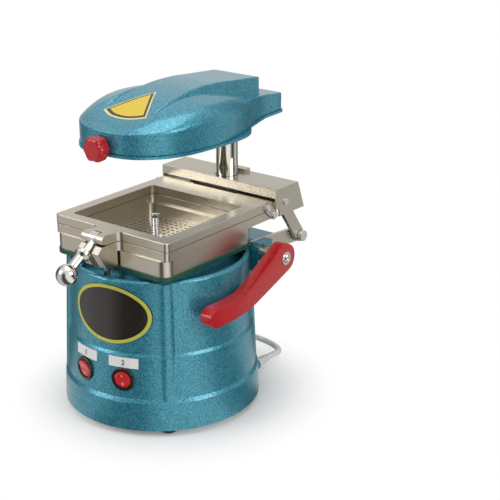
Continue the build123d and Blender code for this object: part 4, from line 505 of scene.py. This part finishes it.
@dataclass
class MainsCord:
    """The white mains cord from the base's back to its plug, coiled behind the machine."""

    radius: float = 3.0
    route: Sequence[Point] = (
        (52.0, 105.5, 12.5), (52.0, 113.5, 12.5), (50.9, 123.0, 10.8), (46.0, 134.0, 7.4),
        (36.0, 144.5, 4.6), (21.5, 151.8, 3.4), (2.5, 155.0, 3.0), (-18.0, 156.8, 3.0),
        (-39.0, 157.6, 3.0), (-59.8, 157.3, 3.0), (-74.5, 156.0, 3.0), (-88.0, 152.8, 3.0),
    )
    coil_centre: Plan = (-93.4, 113.5)
    coil_stages: Sequence[Point] = (
        (108.5, 36.0, 3.0), (438.5, 36.3, 3.0), (468.5, 30.2, 3.0), (828.5, 30.2, 3.0),
        (858.5, 30.2, 9.0), (1188.5, 30.2, 9.0), (1218.5, 30.2, 15.0), (1578.5, 30.2, 15.0),
        (1608.5, 36.3, 15.0), (1878.5, 36.3, 15.0), (1908.5, 36.3, 9.0), (2115.0, 36.1, 9.0),
    )
    points_each_turn: int = 18
    tail: Sequence[Point] = ((-56.0, 99.9, 9.0), (-43.0, 108.5, 9.0))
    real_length: float = 1.358
    relief_from: float = 85.5
    relief_length: float = 20.0
    relief_flange: Plan = (6.0, 2.0)
    relief_rings: int = 6
    plug_points: int = 40
    plug_squareness: float = 0.55

    def coil(self) -> list[Point]:
        """The points of the coil's turns, from the route to the tail.

        Returns:
            The points, at even angles between the stages.
        """
        x, y = self.coil_centre
        widest = 360 / self.points_each_turn
        rows = []
        for start, end in zip(self.coil_stages, self.coil_stages[1:]):
            pieces = math.ceil((end[0] - start[0]) / widest - 1e-6)
            for number in range(pieces):
                share = number / pieces
                rows.append(tuple(a + (b - a) * share for a, b in zip(start, end)))
        points = []
        for turn, reach, height in (*rows, self.coil_stages[-1]):
            angle = math.radians(turn)
            points.append((x + reach * math.cos(angle), y + reach * math.sin(angle), height))
        return points

    def build(self) -> None:
        """Makes the cord, its strain relief and the shell of its plug."""
        points = [place(*point) for point in (*self.route, *self.coil(), *self.tail)]
        curve = bpy.data.curves.new("mains_cord", "CURVE")
        curve.dimensions = "3D"
        spline = curve.splines.new("NURBS")
        spline.points.add(len(points) - 1)
        for knot, point in zip(spline.points, points):
            knot.co = (*point, 1.0)
        spline.order_u = 3
        spline.use_endpoint_u = True
        curve.bevel_depth = self.radius * MM
        curve.bevel_resolution = 5
        curve.resolution_u = 10
        cord = linked("mains_cord", curve)
        dress(cord, "base", WHITE_CORD, replaced=("power_cord", "cord_coil", "cord_tail"))
        relief = self.strain_relief()
        shell = self.plug_shell()
        LOG.info("cord leaves through %s", relief.name)

    def strain_relief(self) -> bpy.types.Object:
        """The tapered sleeve with its grooves, from the base's boss to the cord.

        Returns:
            The sleeve.
        """
        flange_r, flange = self.relief_flange
        length, rings = self.relief_length, self.relief_rings
        profile = [(3.1, 0.0), (flange_r, 0.0), (flange_r, flange), (5.2, flange)]
        pitch = (length - flange) / rings
        for ring in range(rings):
            reach = flange + ring * pitch
            outer = 5.0 - 1.5 * (ring + 0.3) / rings
            profile += [
                (outer - 0.7, reach + 0.05 * pitch),
                (outer - 0.7, reach + 0.30 * pitch),
                (outer, reach + 0.42 * pitch),
                (outer - 0.1, reach + 0.95 * pitch),
            ]
        profile += [(3.4, length), (3.05, length)]
        x, _, z = self.route[0]
        sleeve = turned(profile, place(x, self.relief_from, z), BACKWARD, 32)
        return piece("strain_relief", sleeve, "base", WHITE_CORD, replaced=("cord_gland",))

    def plug_shell(self) -> bpy.types.Object:
        """The moulded plug body, with its waist and finger grooves.

        Returns:
            The plug's shell.
        """
        start = place(*self.tail[-1])
        along = (start - place(*self.tail[-2])).normalized()
        across = Vector((-along.y, along.x, 0))
        stations = (
            (0.0, 4.2, 4.2), (0.4, 5.4, 5.4), (4.5, 6.4, 6.2), (9.0, 11.6, 8.2), (11.0, 12.7, 8.9),
            (14.0, 12.2, 8.4), (17.0, 12.7, 8.9), (20.0, 12.2, 8.4), (23.0, 12.7, 8.9),
            (32.6, 13.0, 9.0), (33.6, 12.7, 8.7), (34.0, 12.0, 8.0),
        )
        sections = []
        for reach, half_w, half_h in stations:
            ring = []
            for c, s in around(self.plug_points):
                wide = squared(c, self.plug_squareness) * half_w
                high = squared(s, self.plug_squareness) * half_h
                ring.append(start + (along * reach + across * wide + UP * high) * MM)
            sections.append(ring)
        return piece("plug_shell", loft(sections), "base", WHITE_CORD, replaced=("plug_body",))


# --- Heater head ---


@dataclass
class HeaterHead:
    """The domed head casting with its raised band and tail, its knob and its plate."""

    side: Sequence[Plan] = ((29.0, -66.8), (53.5, -43.6), (65.0, 15.0), (50.0, 78.0), (24.0, 110.0))
    front_y: float = -71.5
    back_y: float = 118.0
    middle_y: float = 15.0
    foot_z: float = 264.5
    shoulder_z: float = 284.5
    shoulder_run: float = 13.0
    roof_y: float = 25.0
    crest_z: float = 309.0
    long_r: float = 200.0
    arch_r: float = 200.0
    band_half: float = 27.0
    band_from: float = -26.0
    band_top: Sequence[Plan] = (
        (-68.0, 285.5), (-50.0, 291.0), (-36.0, 295.5), (-10.0, 303.2), (18.0, 307.6), (50.0, 308.5),
        (84.0, 306.0), (121.0, 303.0),
    )
    tail_plan: Sequence[Plan] = ((46.0, 84.0), (35.0, 120.0), (32.0, 157.0))
    tail_top: Plan = (290.0, 281.0)
    tail_root: Plan = (46.0, 60.0)
    tail_corner: float = 6.0
    rings: int = 72
    shoulder_power: float = 2.2
    plan_reach: float = 64.0
    front_run: Plan = (-42.0, 0.0)
    front_blend: float = 16.0
    lobe_run: Plan = (-34.0, 70.0)
    lobe_drop: float = 4.5
    groove: float = 3.2
    groove_out: float = 1.9
    groove_half: float = 1.5
    groove_run: Plan = (-42.0, -20.0)
    band_foot: float = 268.0
    band_front_slope: float = 0.45
    band_flare: float = 1.5
    band_flare_run: Plan = (60.0, 121.0)
    band_edge: Plan = (1.2, 0.8)
    voxel: float = 0.8
    cuts: Sequence[tuple[str, float, float, float, Plan]] = (
        ("heater_well", 56.2, 250.0, 278.3, (0.0, -4.0)),
        ("column_bore", 13.7, 250.0, 285.4, (0.0, 104.8)),
    )
    plate_bow: Sequence[Plan] = ((-26.2, -42.0), (-14.0, -48.0), (0.0, -50.0), (14.0, -48.0), (26.2, -42.0))
    plate_apex: Plan = (0.0, 1.5)
    plate_centre: Plan = (0.0, -29.5)
    above_all: float = 330.0
    knob_at: Point = (0.0, -73.0, 269.4)
    knob_r: float = 11.3
    knob_lobes: int = 6
    knob_points: int = 96
    band_line: list[Vector] = field(init=False)

    def __post_init__(self) -> None:
        """Works out the band's top line."""
        self.band_line = through(self.band_top, 8)

    def band_z(self, y: float) -> float:
        """The height of the band's top.

        Args:
            y: The place along the head.

        Returns:
            The height, in millimetres.
        """
        line = self.band_line
        if y <= line[0].x:
            return line[0].y + (y - line[0].x) * self.band_front_slope
        for low, high in zip(line, line[1:]):
            if y <= high.x:
                return low.y + (high.y - low.y) * (y - low.x) / (high.x - low.x)
        return line[-1].y

    def roof_z(self, x: float, y: float) -> float:
        """The height of the dome's long round roof.

        Args:
            x: The plan place's distance to the lever's side.
            y: The plan place's distance behind the base axis.

        Returns:
            The height, in millimetres.
        """
        drop = self.arch_r - math.sqrt(max(self.arch_r**2 - x * x, 0.0))
        reach = self.long_r - drop
        return self.crest_z - self.long_r + math.sqrt(max(reach**2 - (y - self.roof_y) ** 2, 1.0))

    def dome(self) -> Shape:
        """The oval dome with its rounded shoulder, flattened where the band starts.

        Returns:
            The points and faces of a closed skin.
        """
        right = [(0.0, self.front_y), *self.side, (0.0, self.back_y)]
        left = [(-x, y) for x, y in reversed(self.side)]
        outline = through([*right, *left], 18, closed=True)
        centre = Vector((0.0, self.middle_y))
        half = self.band_half
        shares = [1.0, 0.995, *(1 - ring / self.rings for ring in range(1, self.rings))]
        sections = [[place(p.x, p.y, self.foot_z) for p in outline]]
        sections.append([place(p.x, p.y, self.shoulder_z) for p in outline])
        for share in shares[1:]:
            ring = []
            for p in outline:
                at = centre + (p - centre) * share
                inset = (1 - share) * self.plan_reach
                power = self.shoulder_power
                rise = (1 - (1 - min(inset / self.shoulder_run, 1)) ** power) ** (1 / power)
                roof = self.roof_z(at.x, at.y)
                out = abs(at.x)
                front = 1 - smooth_step(*self.front_run, at.y)
                flat = 1 - smooth_step(half - 3, half + 3 + self.front_blend * front, out)
                roof -= max(roof - self.band_z(at.y), 0.0) * flat
                lobe = smooth_step(half, half + 2.5, out) * smooth_step(*self.lobe_run, at.y)
                roof -= self.lobe_drop * lobe
                beside = (out - half - self.groove_out) / self.groove_half
                roof -= self.groove * math.exp(-beside * beside) * smooth_step(*self.groove_run, at.y)
                ring.append(place(at.x, at.y, self.shoulder_z + (roof - self.shoulder_z) * rise))
            sections.append(ring)
        return loft(sections)

    def band(self) -> Shape:
        """The raised band, whose top is level across and ends in a tall rear face.

        Returns:
            The points and faces of a closed skin.
        """
        sections = []
        for p in self.band_line:
            if p.x < self.band_from:
                continue
            half = self.band_half + self.band_flare * smooth_step(*self.band_flare_run, p.x)
            inward, down = self.band_edge
            right = [(half, self.band_foot), (half, p.y - down), (half - inward, p.y)]
            left = [(-x, z) for x, z in reversed(right)]
            sections.append([place(x, p.x, z) for x, z in (left[-1], *right, *left[:-1])])
        return loft(sections)

    def tail(self) -> Shape:
        """The tail over the column, with its top sloping down to the back.

        Returns:
            The points and faces of a closed skin.
        """
        right = through(self.tail_plan, 8)
        corner = self.tail_corner
        half, end_y = self.tail_plan[-1]
        neck_y = self.tail_plan[0][1]
        middle = Vector((half - corner, end_y - corner))
        angles = (0.0, 0.4, 0.8, 1.2, math.pi / 2)
        rounded = [middle + Vector((math.cos(a), math.sin(a))) * corner for a in angles]
        right = [Vector(self.tail_root), *(p for p in right if p.y < end_y - corner), *rounded]
        plan = right + [Vector((-p.x, p.y)) for p in reversed(right)]
        neck_z, end_z = self.tail_top
        slope = (end_z - neck_z) / (end_y - neck_y)
        low = [place(p.x, p.y, self.foot_z) for p in plan]
        high = [place(p.x, p.y, neck_z + slope * max(p.y - neck_y, 0.0)) for p in plan]
        return loft([low, high])

    def casting(self) -> bpy.types.Object:
        """Joins dome, band and tail into one soft-cornered casting with its heater well.

        Returns:
            The casting.
        """
        vertices: list[Vector] = []
        faces: Faces = []
        for points, sides in (self.dome(), self.band(), self.tail()):
            faces += [tuple(i + len(vertices) for i in side) for side in sides]
            vertices += points
        made = skin("head_casting", (vertices, faces))
        remesh = made.modifiers.new("join", "REMESH")
        remesh.mode = "VOXEL"
        remesh.voxel_size = self.voxel * MM
        soften = made.modifiers.new("soften", "SMOOTH")
        soften.factor = 0.5
        soften.iterations = 3
        settle(made)
        cutters = [self.cutter(*cut) for cut in self.cuts]
        for cutter in cutters:
            cut = made.modifiers.new(cutter.name, "BOOLEAN")
            cut.operation = "DIFFERENCE"
            cut.solver = "EXACT"
            cut.object = cutter
        settle(made)
        for cutter in cutters:
            bpy.data.objects.remove(cutter)
        return dress(made, "head", ENAMEL, replaced=("head_shell",))

    @staticmethod
    def cutter(name: str, radius: float, low: float, high: float, at: Plan) -> bpy.types.Object:
        """A round plug between two heights at a plan place, which a boolean takes out of the casting."""
        profile = [(radius, 0.0), (radius, high - low)]
        return skin(name, turned(profile, place(*at, low), UP, 72))

    def plate(self, casting: bpy.types.Object) -> None:
        """The three-cornered plate on the band: a pale edge, a dark border and a bare yellow field.

        Args:
            casting: The head casting that the plate lies on.
        """
        graph = bpy.context.evaluated_depsgraph_get()
        tree = BVHTree.FromObject(casting, graph)
        bow = through(self.plate_bow, 6)
        sides = [Vector(self.plate_bow[-1]).lerp(Vector(self.plate_apex), i / 16) for i in range(1, 17)]
        other = [Vector((-p.x, p.y)) for p in reversed(sides[:-1])]
        outline = [*bow, *sides, *other]
        centre = Vector(self.plate_centre)
        layers = (
            ("head_plate_edge", PALE_FILM, 1.0, 0.35, ("head_label",)),
            ("head_plate_border", BORDER_FILM, 0.90, 0.50, ()),
            ("head_plate_field", YELLOW_FILM, 0.77, 0.62, ()),
        )
        for name, finish, scale, lift, replaced in layers:
            shares = [scale, scale * 0.75, scale * 0.5, scale * 0.25, 0.02]
            sections = []
            for share in shares:
                ring = []
                for p in outline:
                    at = centre + (p - centre) * share
                    hit, _, _, _ = tree.ray_cast(place(at.x, at.y, self.above_all), -UP)
                    ring.append(hit + Vector((0, 0, lift * MM)))
                sections.append(ring)
            skirt = [v - Vector((0, 0, (lift + 0.1) * MM)) for v in sections[0]]
            piece(name, loft([skirt, *sections]), "head", finish, replaced)

    def knob(self) -> None:
        """The red knob at the head's front, with six soft lobes."""
        front = place(*self.knob_at)
        stations = (
            (-6.0, 0.30, 0.0), (0.0, 0.30, 0.0), (0.0, 0.80, 0.0), (0.9, 0.93, 0.6), (2.2, 0.97, 1.0),
            (9.0, 1.00, 1.0), (11.2, 0.97, 0.9), (12.4, 0.88, 0.6), (13.0, 0.72, 0.3),
            (12.7, 0.45, 0.0), (12.6, 0.10, 0.0),
        )
        sections = []
        for reach, share, lobed in stations:
            ring = []
            for i, (c, s) in enumerate(around(self.knob_points)):
                wave = math.cos(self.knob_lobes * (FULL_TURN * i / self.knob_points))
                radius = (self.knob_r + lobed * (0.75 * wave - 0.45 * max(-wave, 0.0) ** 4)) * share
                ring.append(front + Vector((c * radius, -reach, s * radius)) * MM)
            sections.append(ring)
        piece("head_knob_grip", loft(sections), "head", RED, replaced=("head_knob",))

    def build(self) -> None:
        """Makes the casting, its plate and its knob."""
        casting = self.casting()
        self.plate(casting)
        self.knob()


# --- Lifting lever ---


@dataclass
class LiftLever:
    """The red moulded lever on its shaft, with the screw in its hub."""

    hub: Plan = (64.5, 147.0)
    hub_r: float = 14.0
    boss_x: float = 89.0
    inner_x: float = 91.6
    outer_x: float = 104.0
    grip: Sequence[Plan] = (
        (6.0, 131.0), (-12.0, 128.5), (-42.0, 129.0), (-49.5, 123.5), (-48.5, 115.5), (-42.0, 110.5),
        (-12.0, 110.0), (12.0, 113.5),
    )
    corner_radii: Sequence[float] = (9.0, 12.0, 3.5, 3.0, 3.0, 3.5, 12.0, 12.0)
    corner_steps: int = 5
    hub_steps: int = 32
    rim_w: float = 2.6
    boss_r: float = 11.5
    screw_out: float = 0.8
    screw: Sequence[Plan] = (
        (2.0, -13.0), (2.0, 0.0), (4.2, 0.0), (4.2, 1.4), (3.7, 2.2), (3.0, 2.4), (2.1, 2.4),
        (2.0, 2.2), (1.9, 0.9), (0.1, 0.7),
    )

    def tangent(self, outside: Plan, turn: int) -> Vector:
        """Where a line from outside touches the hub.

        Args:
            outside: Where the line starts.
            turn: 1 or -1, for the side that it touches.

        Returns:
            The point of the hub.
        """
        centre, start = Vector(self.hub), Vector(outside)
        away = centre - start
        reach = math.sqrt(away.length**2 - self.hub_r**2)
        swing = Matrix.Rotation(turn * math.atan(self.hub_r / reach), 2)
        return start + (swing @ away.normalized()) * reach

    def outline(self) -> list[Vector]:
        """The lever's side outline, with rounded corners and its round hub.

        Returns:
            The outline's points in the (Y, Z) plane.
        """
        top, bottom = self.tangent(self.grip[0], 1), self.tangent(self.grip[-1], -1)
        corners = [Vector(p) for p in self.grip]
        chain = [top, *corners, bottom]
        points = []
        for number, radius in enumerate(self.corner_radii, start=1):
            before, here, after = chain[number - 1 : number + 2]
            into = (before - here).normalized()
            out = (after - here).normalized()
            for step in range(self.corner_steps + 1):
                share = step / self.corner_steps
                start, end = here + into * radius, here + out * radius
                points.append(start * (1 - share) ** 2 + here * 2 * share * (1 - share) + end * share**2)
        centre = Vector(self.hub)
        low = math.atan2(*(bottom - centre).yx)
        high = math.atan2(*(top - centre).yx)
        if high < low:
            high += FULL_TURN
        for step in range(self.hub_steps + 1):
            angle = low + (high - low) * step / self.hub_steps
            points.append(centre + Vector((math.cos(angle), math.sin(angle))) * self.hub_r)
        return points

    def build(self) -> None:
        """Makes the lever's moulding and its hub screw."""
        outline = self.outline()
        inner = [place(self.inner_x, p.x, p.y) for p in outline]
        outer = [place(self.outer_x, p.x, p.y) for p in outline]
        made = skin("lever_moulding", loft([inner, outer]))
        rim = made.modifiers.new("rim", "BEVEL")
        rim.width = self.rim_w * MM
        rim.segments = 4
        rim.limit_method = "ANGLE"
        rim.angle_limit = math.radians(60)
        settle(made)
        dress(made, "lever", RED, replaced=("lever_handle",))
        profile = [(self.boss_r, 0.0), (self.boss_r, self.inner_x - self.boss_x + 0.5)]
        boss = turned(profile, place(self.boss_x, *self.hub), SIDEWAYS, 48)
        piece("lever_hub_boss", boss, "lever", RED)
        face = place(self.outer_x + self.screw_out, *self.hub)
        screw = turned(self.screw, face, SIDEWAYS, 36)
        piece("lever_hub_screw", screw, "lever", CHROME, replaced=("lever_screw",))


# --- Switches, labels and badge ---


class Mark(Enum):
    """What is printed on one half of a rocker."""

    ON = "on"
    OFF = "off"


# Half width, half height, middle, squareness and share of hole of each mark.
MARK_SHAPES = {Mark.ON: (0.35, 1.5, 4.3, 0.4, 0.03), Mark.OFF: (1.25, 1.25, -4.2, 1.0, 0.68)}


@dataclass
class Switch:
    """A round rocker switch on the second tier, at an angle and a height."""

    number: int
    angle: float
    height: float
    body: str
    label_angle: float
    seat_reach: float = 91.8
    face_r: float = 8.3
    rest_tilt: float = 10.0
    skirt: Sequence[Plan] = ((0.93, -4.2), (1.0, -1.5))
    face_shares: Sequence[float] = (1.0, 0.97, 0.92, 0.85, 0.72, 0.55, 0.36, 0.18, 0.03)
    face_points: int = 48
    mark_points: int = 28
    mark_lift: Plan = (-0.1, 0.12)
    label_reach: float = 91.54
    label_height: float = 72.0
    label_lean: float = math.atan(2.3 / 41)
    number_size: float = 7.0
    number_depth: float = 0.05

    def frame_of(self, angle: float, reach: float, height: float) -> Matrix:
        """A frame on the base's side: X level, Y up, Z outward.

        Args:
            angle: Its angle about the base's axis, in degrees.
            reach: Its distance from the axis.
            height: Its height.

        Returns:
            The frame, as a matrix in metres.
        """
        turn = math.radians(angle)
        out = Vector((math.cos(turn), math.sin(turn), 0))
        level = Vector((-out.y, out.x, 0))
        spot = place(reach * out.x, reach * out.y, height)
        return Matrix.Translation(spot) @ Matrix((level, UP, out)).transposed().to_4x4()

    def tilted(self) -> Matrix:
        """The rocker's own frame, with its lower half pressed in."""
        tilt = Matrix.Rotation(math.radians(self.rest_tilt), 4, "X")
        return self.frame_of(self.angle, self.seat_reach, self.height) @ tilt

    def face_z(self, x: float, y: float) -> float:
        """The rocker's face height above its pivot, with its shallow valley."""
        edge = smooth_step(0.80, 1.0, math.hypot(x, y) / self.face_r)
        return 1.2 + 0.17 * math.sqrt(y * y + 0.3) - 0.55 * edge * edge

    def rocker(self) -> None:
        """The red rocker with its valley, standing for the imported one."""
        circle = around(self.face_points)
        to_world = self.tilted()
        rings = []
        for share, z in self.skirt:
            reach = self.face_r * share
            rings.append([(reach * c, reach * s, z) for c, s in circle])
        for share in self.face_shares:
            reach = self.face_r * share
            rings.append([(reach * c, reach * s, self.face_z(reach * c, reach * s)) for c, s in circle])
        sections = [[to_world @ (Vector(point) * MM) for point in ring] for ring in rings]
        name, packed = f"rocker_face_{self.number}", f"rocker_{self.number}"
        piece(name, loft(sections), self.body, ROCKER_RED, (packed,))

    def mark(self, which: Mark) -> None:
        """A small I or O on one half of the rocker.

        Args:
            which: The mark.
        """
        to_world = self.tilted()
        half_w, half_h, middle, power, hole = MARK_SHAPES[which]
        count = self.mark_points
        outer, inner = [], []
        for c, s in around(count):
            x, y = squared(c, power) * half_w, squared(s, power) * half_h
            outer.append((x, middle + y))
            inner.append((x * hole, middle + y * hole))
        sunk, proud = self.mark_lift
        sections = []
        for ring, lift in ((outer, sunk), (outer, proud), (inner, proud), (inner, sunk)):
            sections.append([to_world @ (Vector((x, y, self.face_z(x, y) + lift)) * MM) for x, y in ring])
        vertices = [v for section in sections for v in section]
        faces = bridge([0, count, 2 * count, 3 * count, 0], count)
        piece(f"rocker_{which.value}_mark_{self.number}", (vertices, faces), self.body, MARK)

    def number_on_label(self) -> None:
        """A plain number on the white label over the switch."""
        text = bpy.data.curves.new(f"label_number_{self.number}", "FONT")
        text.body = str(self.number)
        text.size = self.number_size * MM
        text.extrude = self.number_depth * MM
        text.align_x = "CENTER"
        text.align_y = "CENTER"
        made = linked(text.name, text)
        lean = Matrix.Rotation(self.label_lean, 4, "X").inverted()
        made.matrix_world = self.frame_of(self.label_angle, self.label_reach, self.label_height) @ lean
        dress(made, "base", PRINT)

    def build(self) -> None:
        """Makes the rocker, its marks and the label's number."""
        self.rocker()
        for which in Mark:
            self.mark(which)
        self.number_on_label()


@dataclass
class Badge:
    """The yellow border around the bare oval badge on the third tier."""

    angle: float = -81.0
    middle_z: float = 117.5
    half_w: float = 41.33
    half_h: float = 28.5
    border: float = 3.4
    thickness: float = 1.2
    sunk: float = -0.3
    proud: float = 0.14
    edge_gap: float = 0.15
    points: int = 120

    @staticmethod
    def tier_r(z: float) -> float:
        """The third tier's outer radius at a height."""
        return 88.6 - 1.8 * (z - 81.0) / 70.5

    def on_badge(self, turn: float, inset: float, proud: float) -> Vector:
        """A point of the oval border on the badge's curved face.

        Args:
            turn: The angle around the oval.
            inset: How far inside the oval's edge.
            proud: How far out of the badge's face.

        Returns:
            The point, in metres.
        """
        across = (self.half_w - inset) * math.cos(turn)
        z = self.middle_z + (self.half_h - inset) * math.sin(turn)
        reach = self.tier_r(z) + self.thickness + proud
        angle = math.radians(self.angle) + math.asin(across / reach)
        return place(reach * math.cos(angle), reach * math.sin(angle), z)

    def build(self) -> None:
        """Makes the border."""
        count, gap = self.points, self.edge_gap
        rings = ((gap, self.sunk), (gap, self.proud), (self.border, self.proud), (self.border, self.sunk))
        vertices = [
            self.on_badge(FULL_TURN * i / count, inset, proud) for inset, proud in rings for i in range(count)
        ]
        faces = bridge([0, count, 2 * count, 3 * count, 0], count)
        piece("badge_border", (vertices, faces), "base", BADGE_RIM)


# --- Centre stud ---


@dataclass
class CentreStud:
    """The serrated stud in the middle of the perforated plate."""

    foot_z: float = 162.0
    teeth: int = 9
    stem: Plan = (4.0, 24.0)
    middle_y: float = -4.5

    def build(self) -> None:
        """Makes the stud."""
        low, high = self.stem
        profile = [(0.2, 0.0), (7.0, 0.0), (7.0, 3.2), (6.2, low), (3.0, low)]
        pitch = (high - low) / self.teeth
        for tooth in range(self.teeth):
            reach = low + tooth * pitch
            profile += [(2.5, reach + 0.1), (3.7, reach + 0.5 * pitch), (3.6, reach + 0.6 * pitch)]
        profile += [(2.6, high), (4.3, 24.2), (4.5, 25.0), (4.3, 26.4), (3.4, 27.0), (0.2, 27.0)]
        stud = turned(profile, place(0.0, self.middle_y, self.foot_z), UP, 40)
        piece("serrated_stud", stud, "base", CHROME, replaced=("centre_stud",))


# --- Studio ---


@dataclass
class Studio:
    """The pale floor, the lamps, the world and the camera."""

    camera_at: Point = (0.75036, -0.84960, 0.56897)
    camera_turn: Point = (69.60, 0.0, 37.64)
    lens: float = 89.57
    lamps: Sequence[tuple[str, Point, float, float]] = (
        ("left_softbox", (-0.95, -1.25, 1.05), 9.0, 0.9),
        ("right_softbox", (1.55, 0.05, 0.95), 8.0, 0.8),
        ("top_softbox", (0.1, 0.1, 1.9), 10.0, 1.3),
    )
    world_light: float = 0.42
    reflected: Sequence[tuple[float, float]] = (
        (0.00, 0.08), (0.05, 0.10), (0.10, 0.60), (0.20, 0.62), (0.25, 0.08), (0.31, 0.06),
        (0.36, 0.95), (0.46, 1.00), (0.50, 0.30), (0.54, 0.05), (0.58, 0.10), (0.62, 0.55),
        (0.68, 0.58), (0.73, 0.08), (0.78, 0.08), (0.83, 0.70), (0.90, 0.74), (0.96, 0.25),
        (1.00, 0.08),
    )
    aim: Point = (0.0, 0.0, 0.15)
    mirrored_tint: Point = (1.0, 0.99, 0.96)
    sensor: float = 36.0
    floor_half: float = 30.0
    floor_grey: float = 0.9
    floor_roughness: float = 0.8
    floor_fade: Plan = (0.07, 0.17)
    sky_rise: Plan = (0.35, 0.85)
    sky_grey: float = 0.85

    def bands(self, tree: bpy.types.NodeTree, split: bpy.types.Node) -> bpy.types.NodeSocket:
        """Dark and light uprights all around, which only mirrored rays see.

        Args:
            tree: The nodes of the world or the floor.
            split: The node that gives the direction's X and Y.

        Returns:
            The socket that carries the colour.
        """
        turn = {0: split.outputs["Y"], 1: split.outputs["X"]}
        angle = add_node(tree, "Math", turn, operation="ARCTAN2").outputs[0]
        share = add_node(tree, "MapRange", {"Value": angle, "From Min": -math.pi, "From Max": math.pi})
        ramp = add_node(tree, "ValToRGB", {"Fac": share.outputs["Result"]})
        elements = ramp.color_ramp.elements
        elements.remove(elements[1])
        for number, (position, level) in enumerate(self.reflected):
            element = elements[0] if number == 0 else elements.new(position)
            element.position = position
            element.color = (*(level * part for part in self.mirrored_tint), 1)
        return ramp.outputs["Color"]

    def camera(self) -> None:
        """Makes the camera."""
        data = bpy.data.cameras.new("camera")
        data.lens = self.lens
        data.sensor_width = self.sensor
        made = linked("camera", data)
        made.location = self.camera_at
        made.rotation_euler = [math.radians(turn) for turn in self.camera_turn]
        bpy.context.scene.camera = made

    def floor(self) -> None:
        """Makes the pale floor that takes the shadow."""
        half = self.floor_half
        corners = [Vector((x * half, y * half, 0)) for x, y in ((-1, -1), (1, -1), (1, 1), (-1, 1))]
        made = skin("floor", (corners, [(0, 1, 2, 3)]))
        paint = bpy.data.materials.new("pale_floor")
        paint.use_nodes = True
        tree = paint.node_tree
        shader = tree.nodes["Principled BSDF"]
        shader.inputs["Base Color"].default_value = (self.floor_grey,) * 3 + (1,)
        shader.inputs["Roughness"].default_value = self.floor_roughness
        shader.inputs["Specular IOR Level"].default_value = 0.0
        lit = shader.outputs[0]
        spot = add_node(tree, "TexCoord").outputs["Object"]
        split = add_node(tree, "SeparateXYZ", {0: spot})
        away = add_node(tree, "VectorMath", {0: spot}, operation="LENGTH").outputs["Value"]
        near, far = self.floor_fade
        run = {"Value": away, "From Min": near, "From Max": far}
        fade = add_node(tree, "MapRange", run, interpolation_type="SMOOTHSTEP").outputs["Result"]
        white = add_node(tree, "Emission").outputs[0]
        grounded = add_node(tree, "MixShader", {0: fade, 1: lit, 2: white}).outputs[0]
        rays = add_node(tree, "LightPath").outputs
        seen = add_node(tree, "MixShader", {0: rays["Is Camera Ray"], 1: lit, 2: grounded}).outputs[0]
        mirrored = add_node(tree, "Emission", {"Color": self.bands(tree, split)}).outputs[0]
        whole = add_node(tree, "MixShader", {0: rays["Is Glossy Ray"], 1: seen, 2: mirrored}).outputs[0]
        tree.links.new(whole, tree.nodes["Material Output"].inputs["Surface"])
        made.data.materials.append(paint)

    def light(self) -> None:
        """Makes the lamps and the world."""
        for name, at, power, size in self.lamps:
            data = bpy.data.lights.new(name, "AREA")
            data.energy = power
            data.size = size
            lamp = linked(name, data)
            lamp.location = at
            away = Vector(at) - Vector(self.aim)
            lamp.rotation_euler = away.to_track_quat("Z", "Y").to_euler()
        world = bpy.data.worlds.new("studio")
        bpy.context.scene.world = world
        world.use_nodes = True
        tree = world.node_tree
        back = tree.nodes["Background"]
        back.inputs["Strength"].default_value = 1.0
        rays = add_node(tree, "LightPath").outputs
        where = add_node(tree, "TexCoord").outputs["Generated"]
        split = add_node(tree, "SeparateXYZ", {0: where})
        low, high = self.sky_rise
        above = add_node(tree, "MapRange", {"Value": split.outputs["Z"], "From Min": low, "From Max": high})
        pale, plain = (self.sky_grey,) * 3 + (1,), (self.world_light,) * 3 + (1,)
        skies = {0: above.outputs["Result"], 6: self.bands(tree, split), 7: pale}
        sky = add_node(tree, "Mix", skies, data_type="RGBA").outputs[2]
        choice = {0: rays["Is Glossy Ray"], 6: plain, 7: sky}
        mirrored = add_node(tree, "Mix", choice, data_type="RGBA").outputs[2]
        shown = {0: rays["Is Camera Ray"], 6: mirrored, 7: (1, 1, 1, 1)}
        tree.links.new(add_node(tree, "Mix", shown, data_type="RGBA").outputs[2], back.inputs["Color"])

    def build(self) -> None:
        """Makes the floor, the lamps and the world, and sets the plain view."""
        self.floor()
        self.light()
        bpy.context.scene.view_settings.view_transform = "Standard"


def main() -> None:
    """Builds the camera and the cord first, then each sub-assembly in order."""
    logging.basicConfig(level=logging.INFO, format="%(name)s: %(message)s")
    studio = Studio()
    studio.camera()
    MainsCord().build()
    dress_nodes()
    HeaterHead().build()
    LiftLever().build()
    Switch(1, -100.3, 55.0, "rocker_left", -99.3).build()
    Switch(2, -71.7, 55.5, "rocker_right", -71.5).build()
    Badge().build()
    CentreStud().build()
    studio.build()


if __name__ == "__main__":
    main()
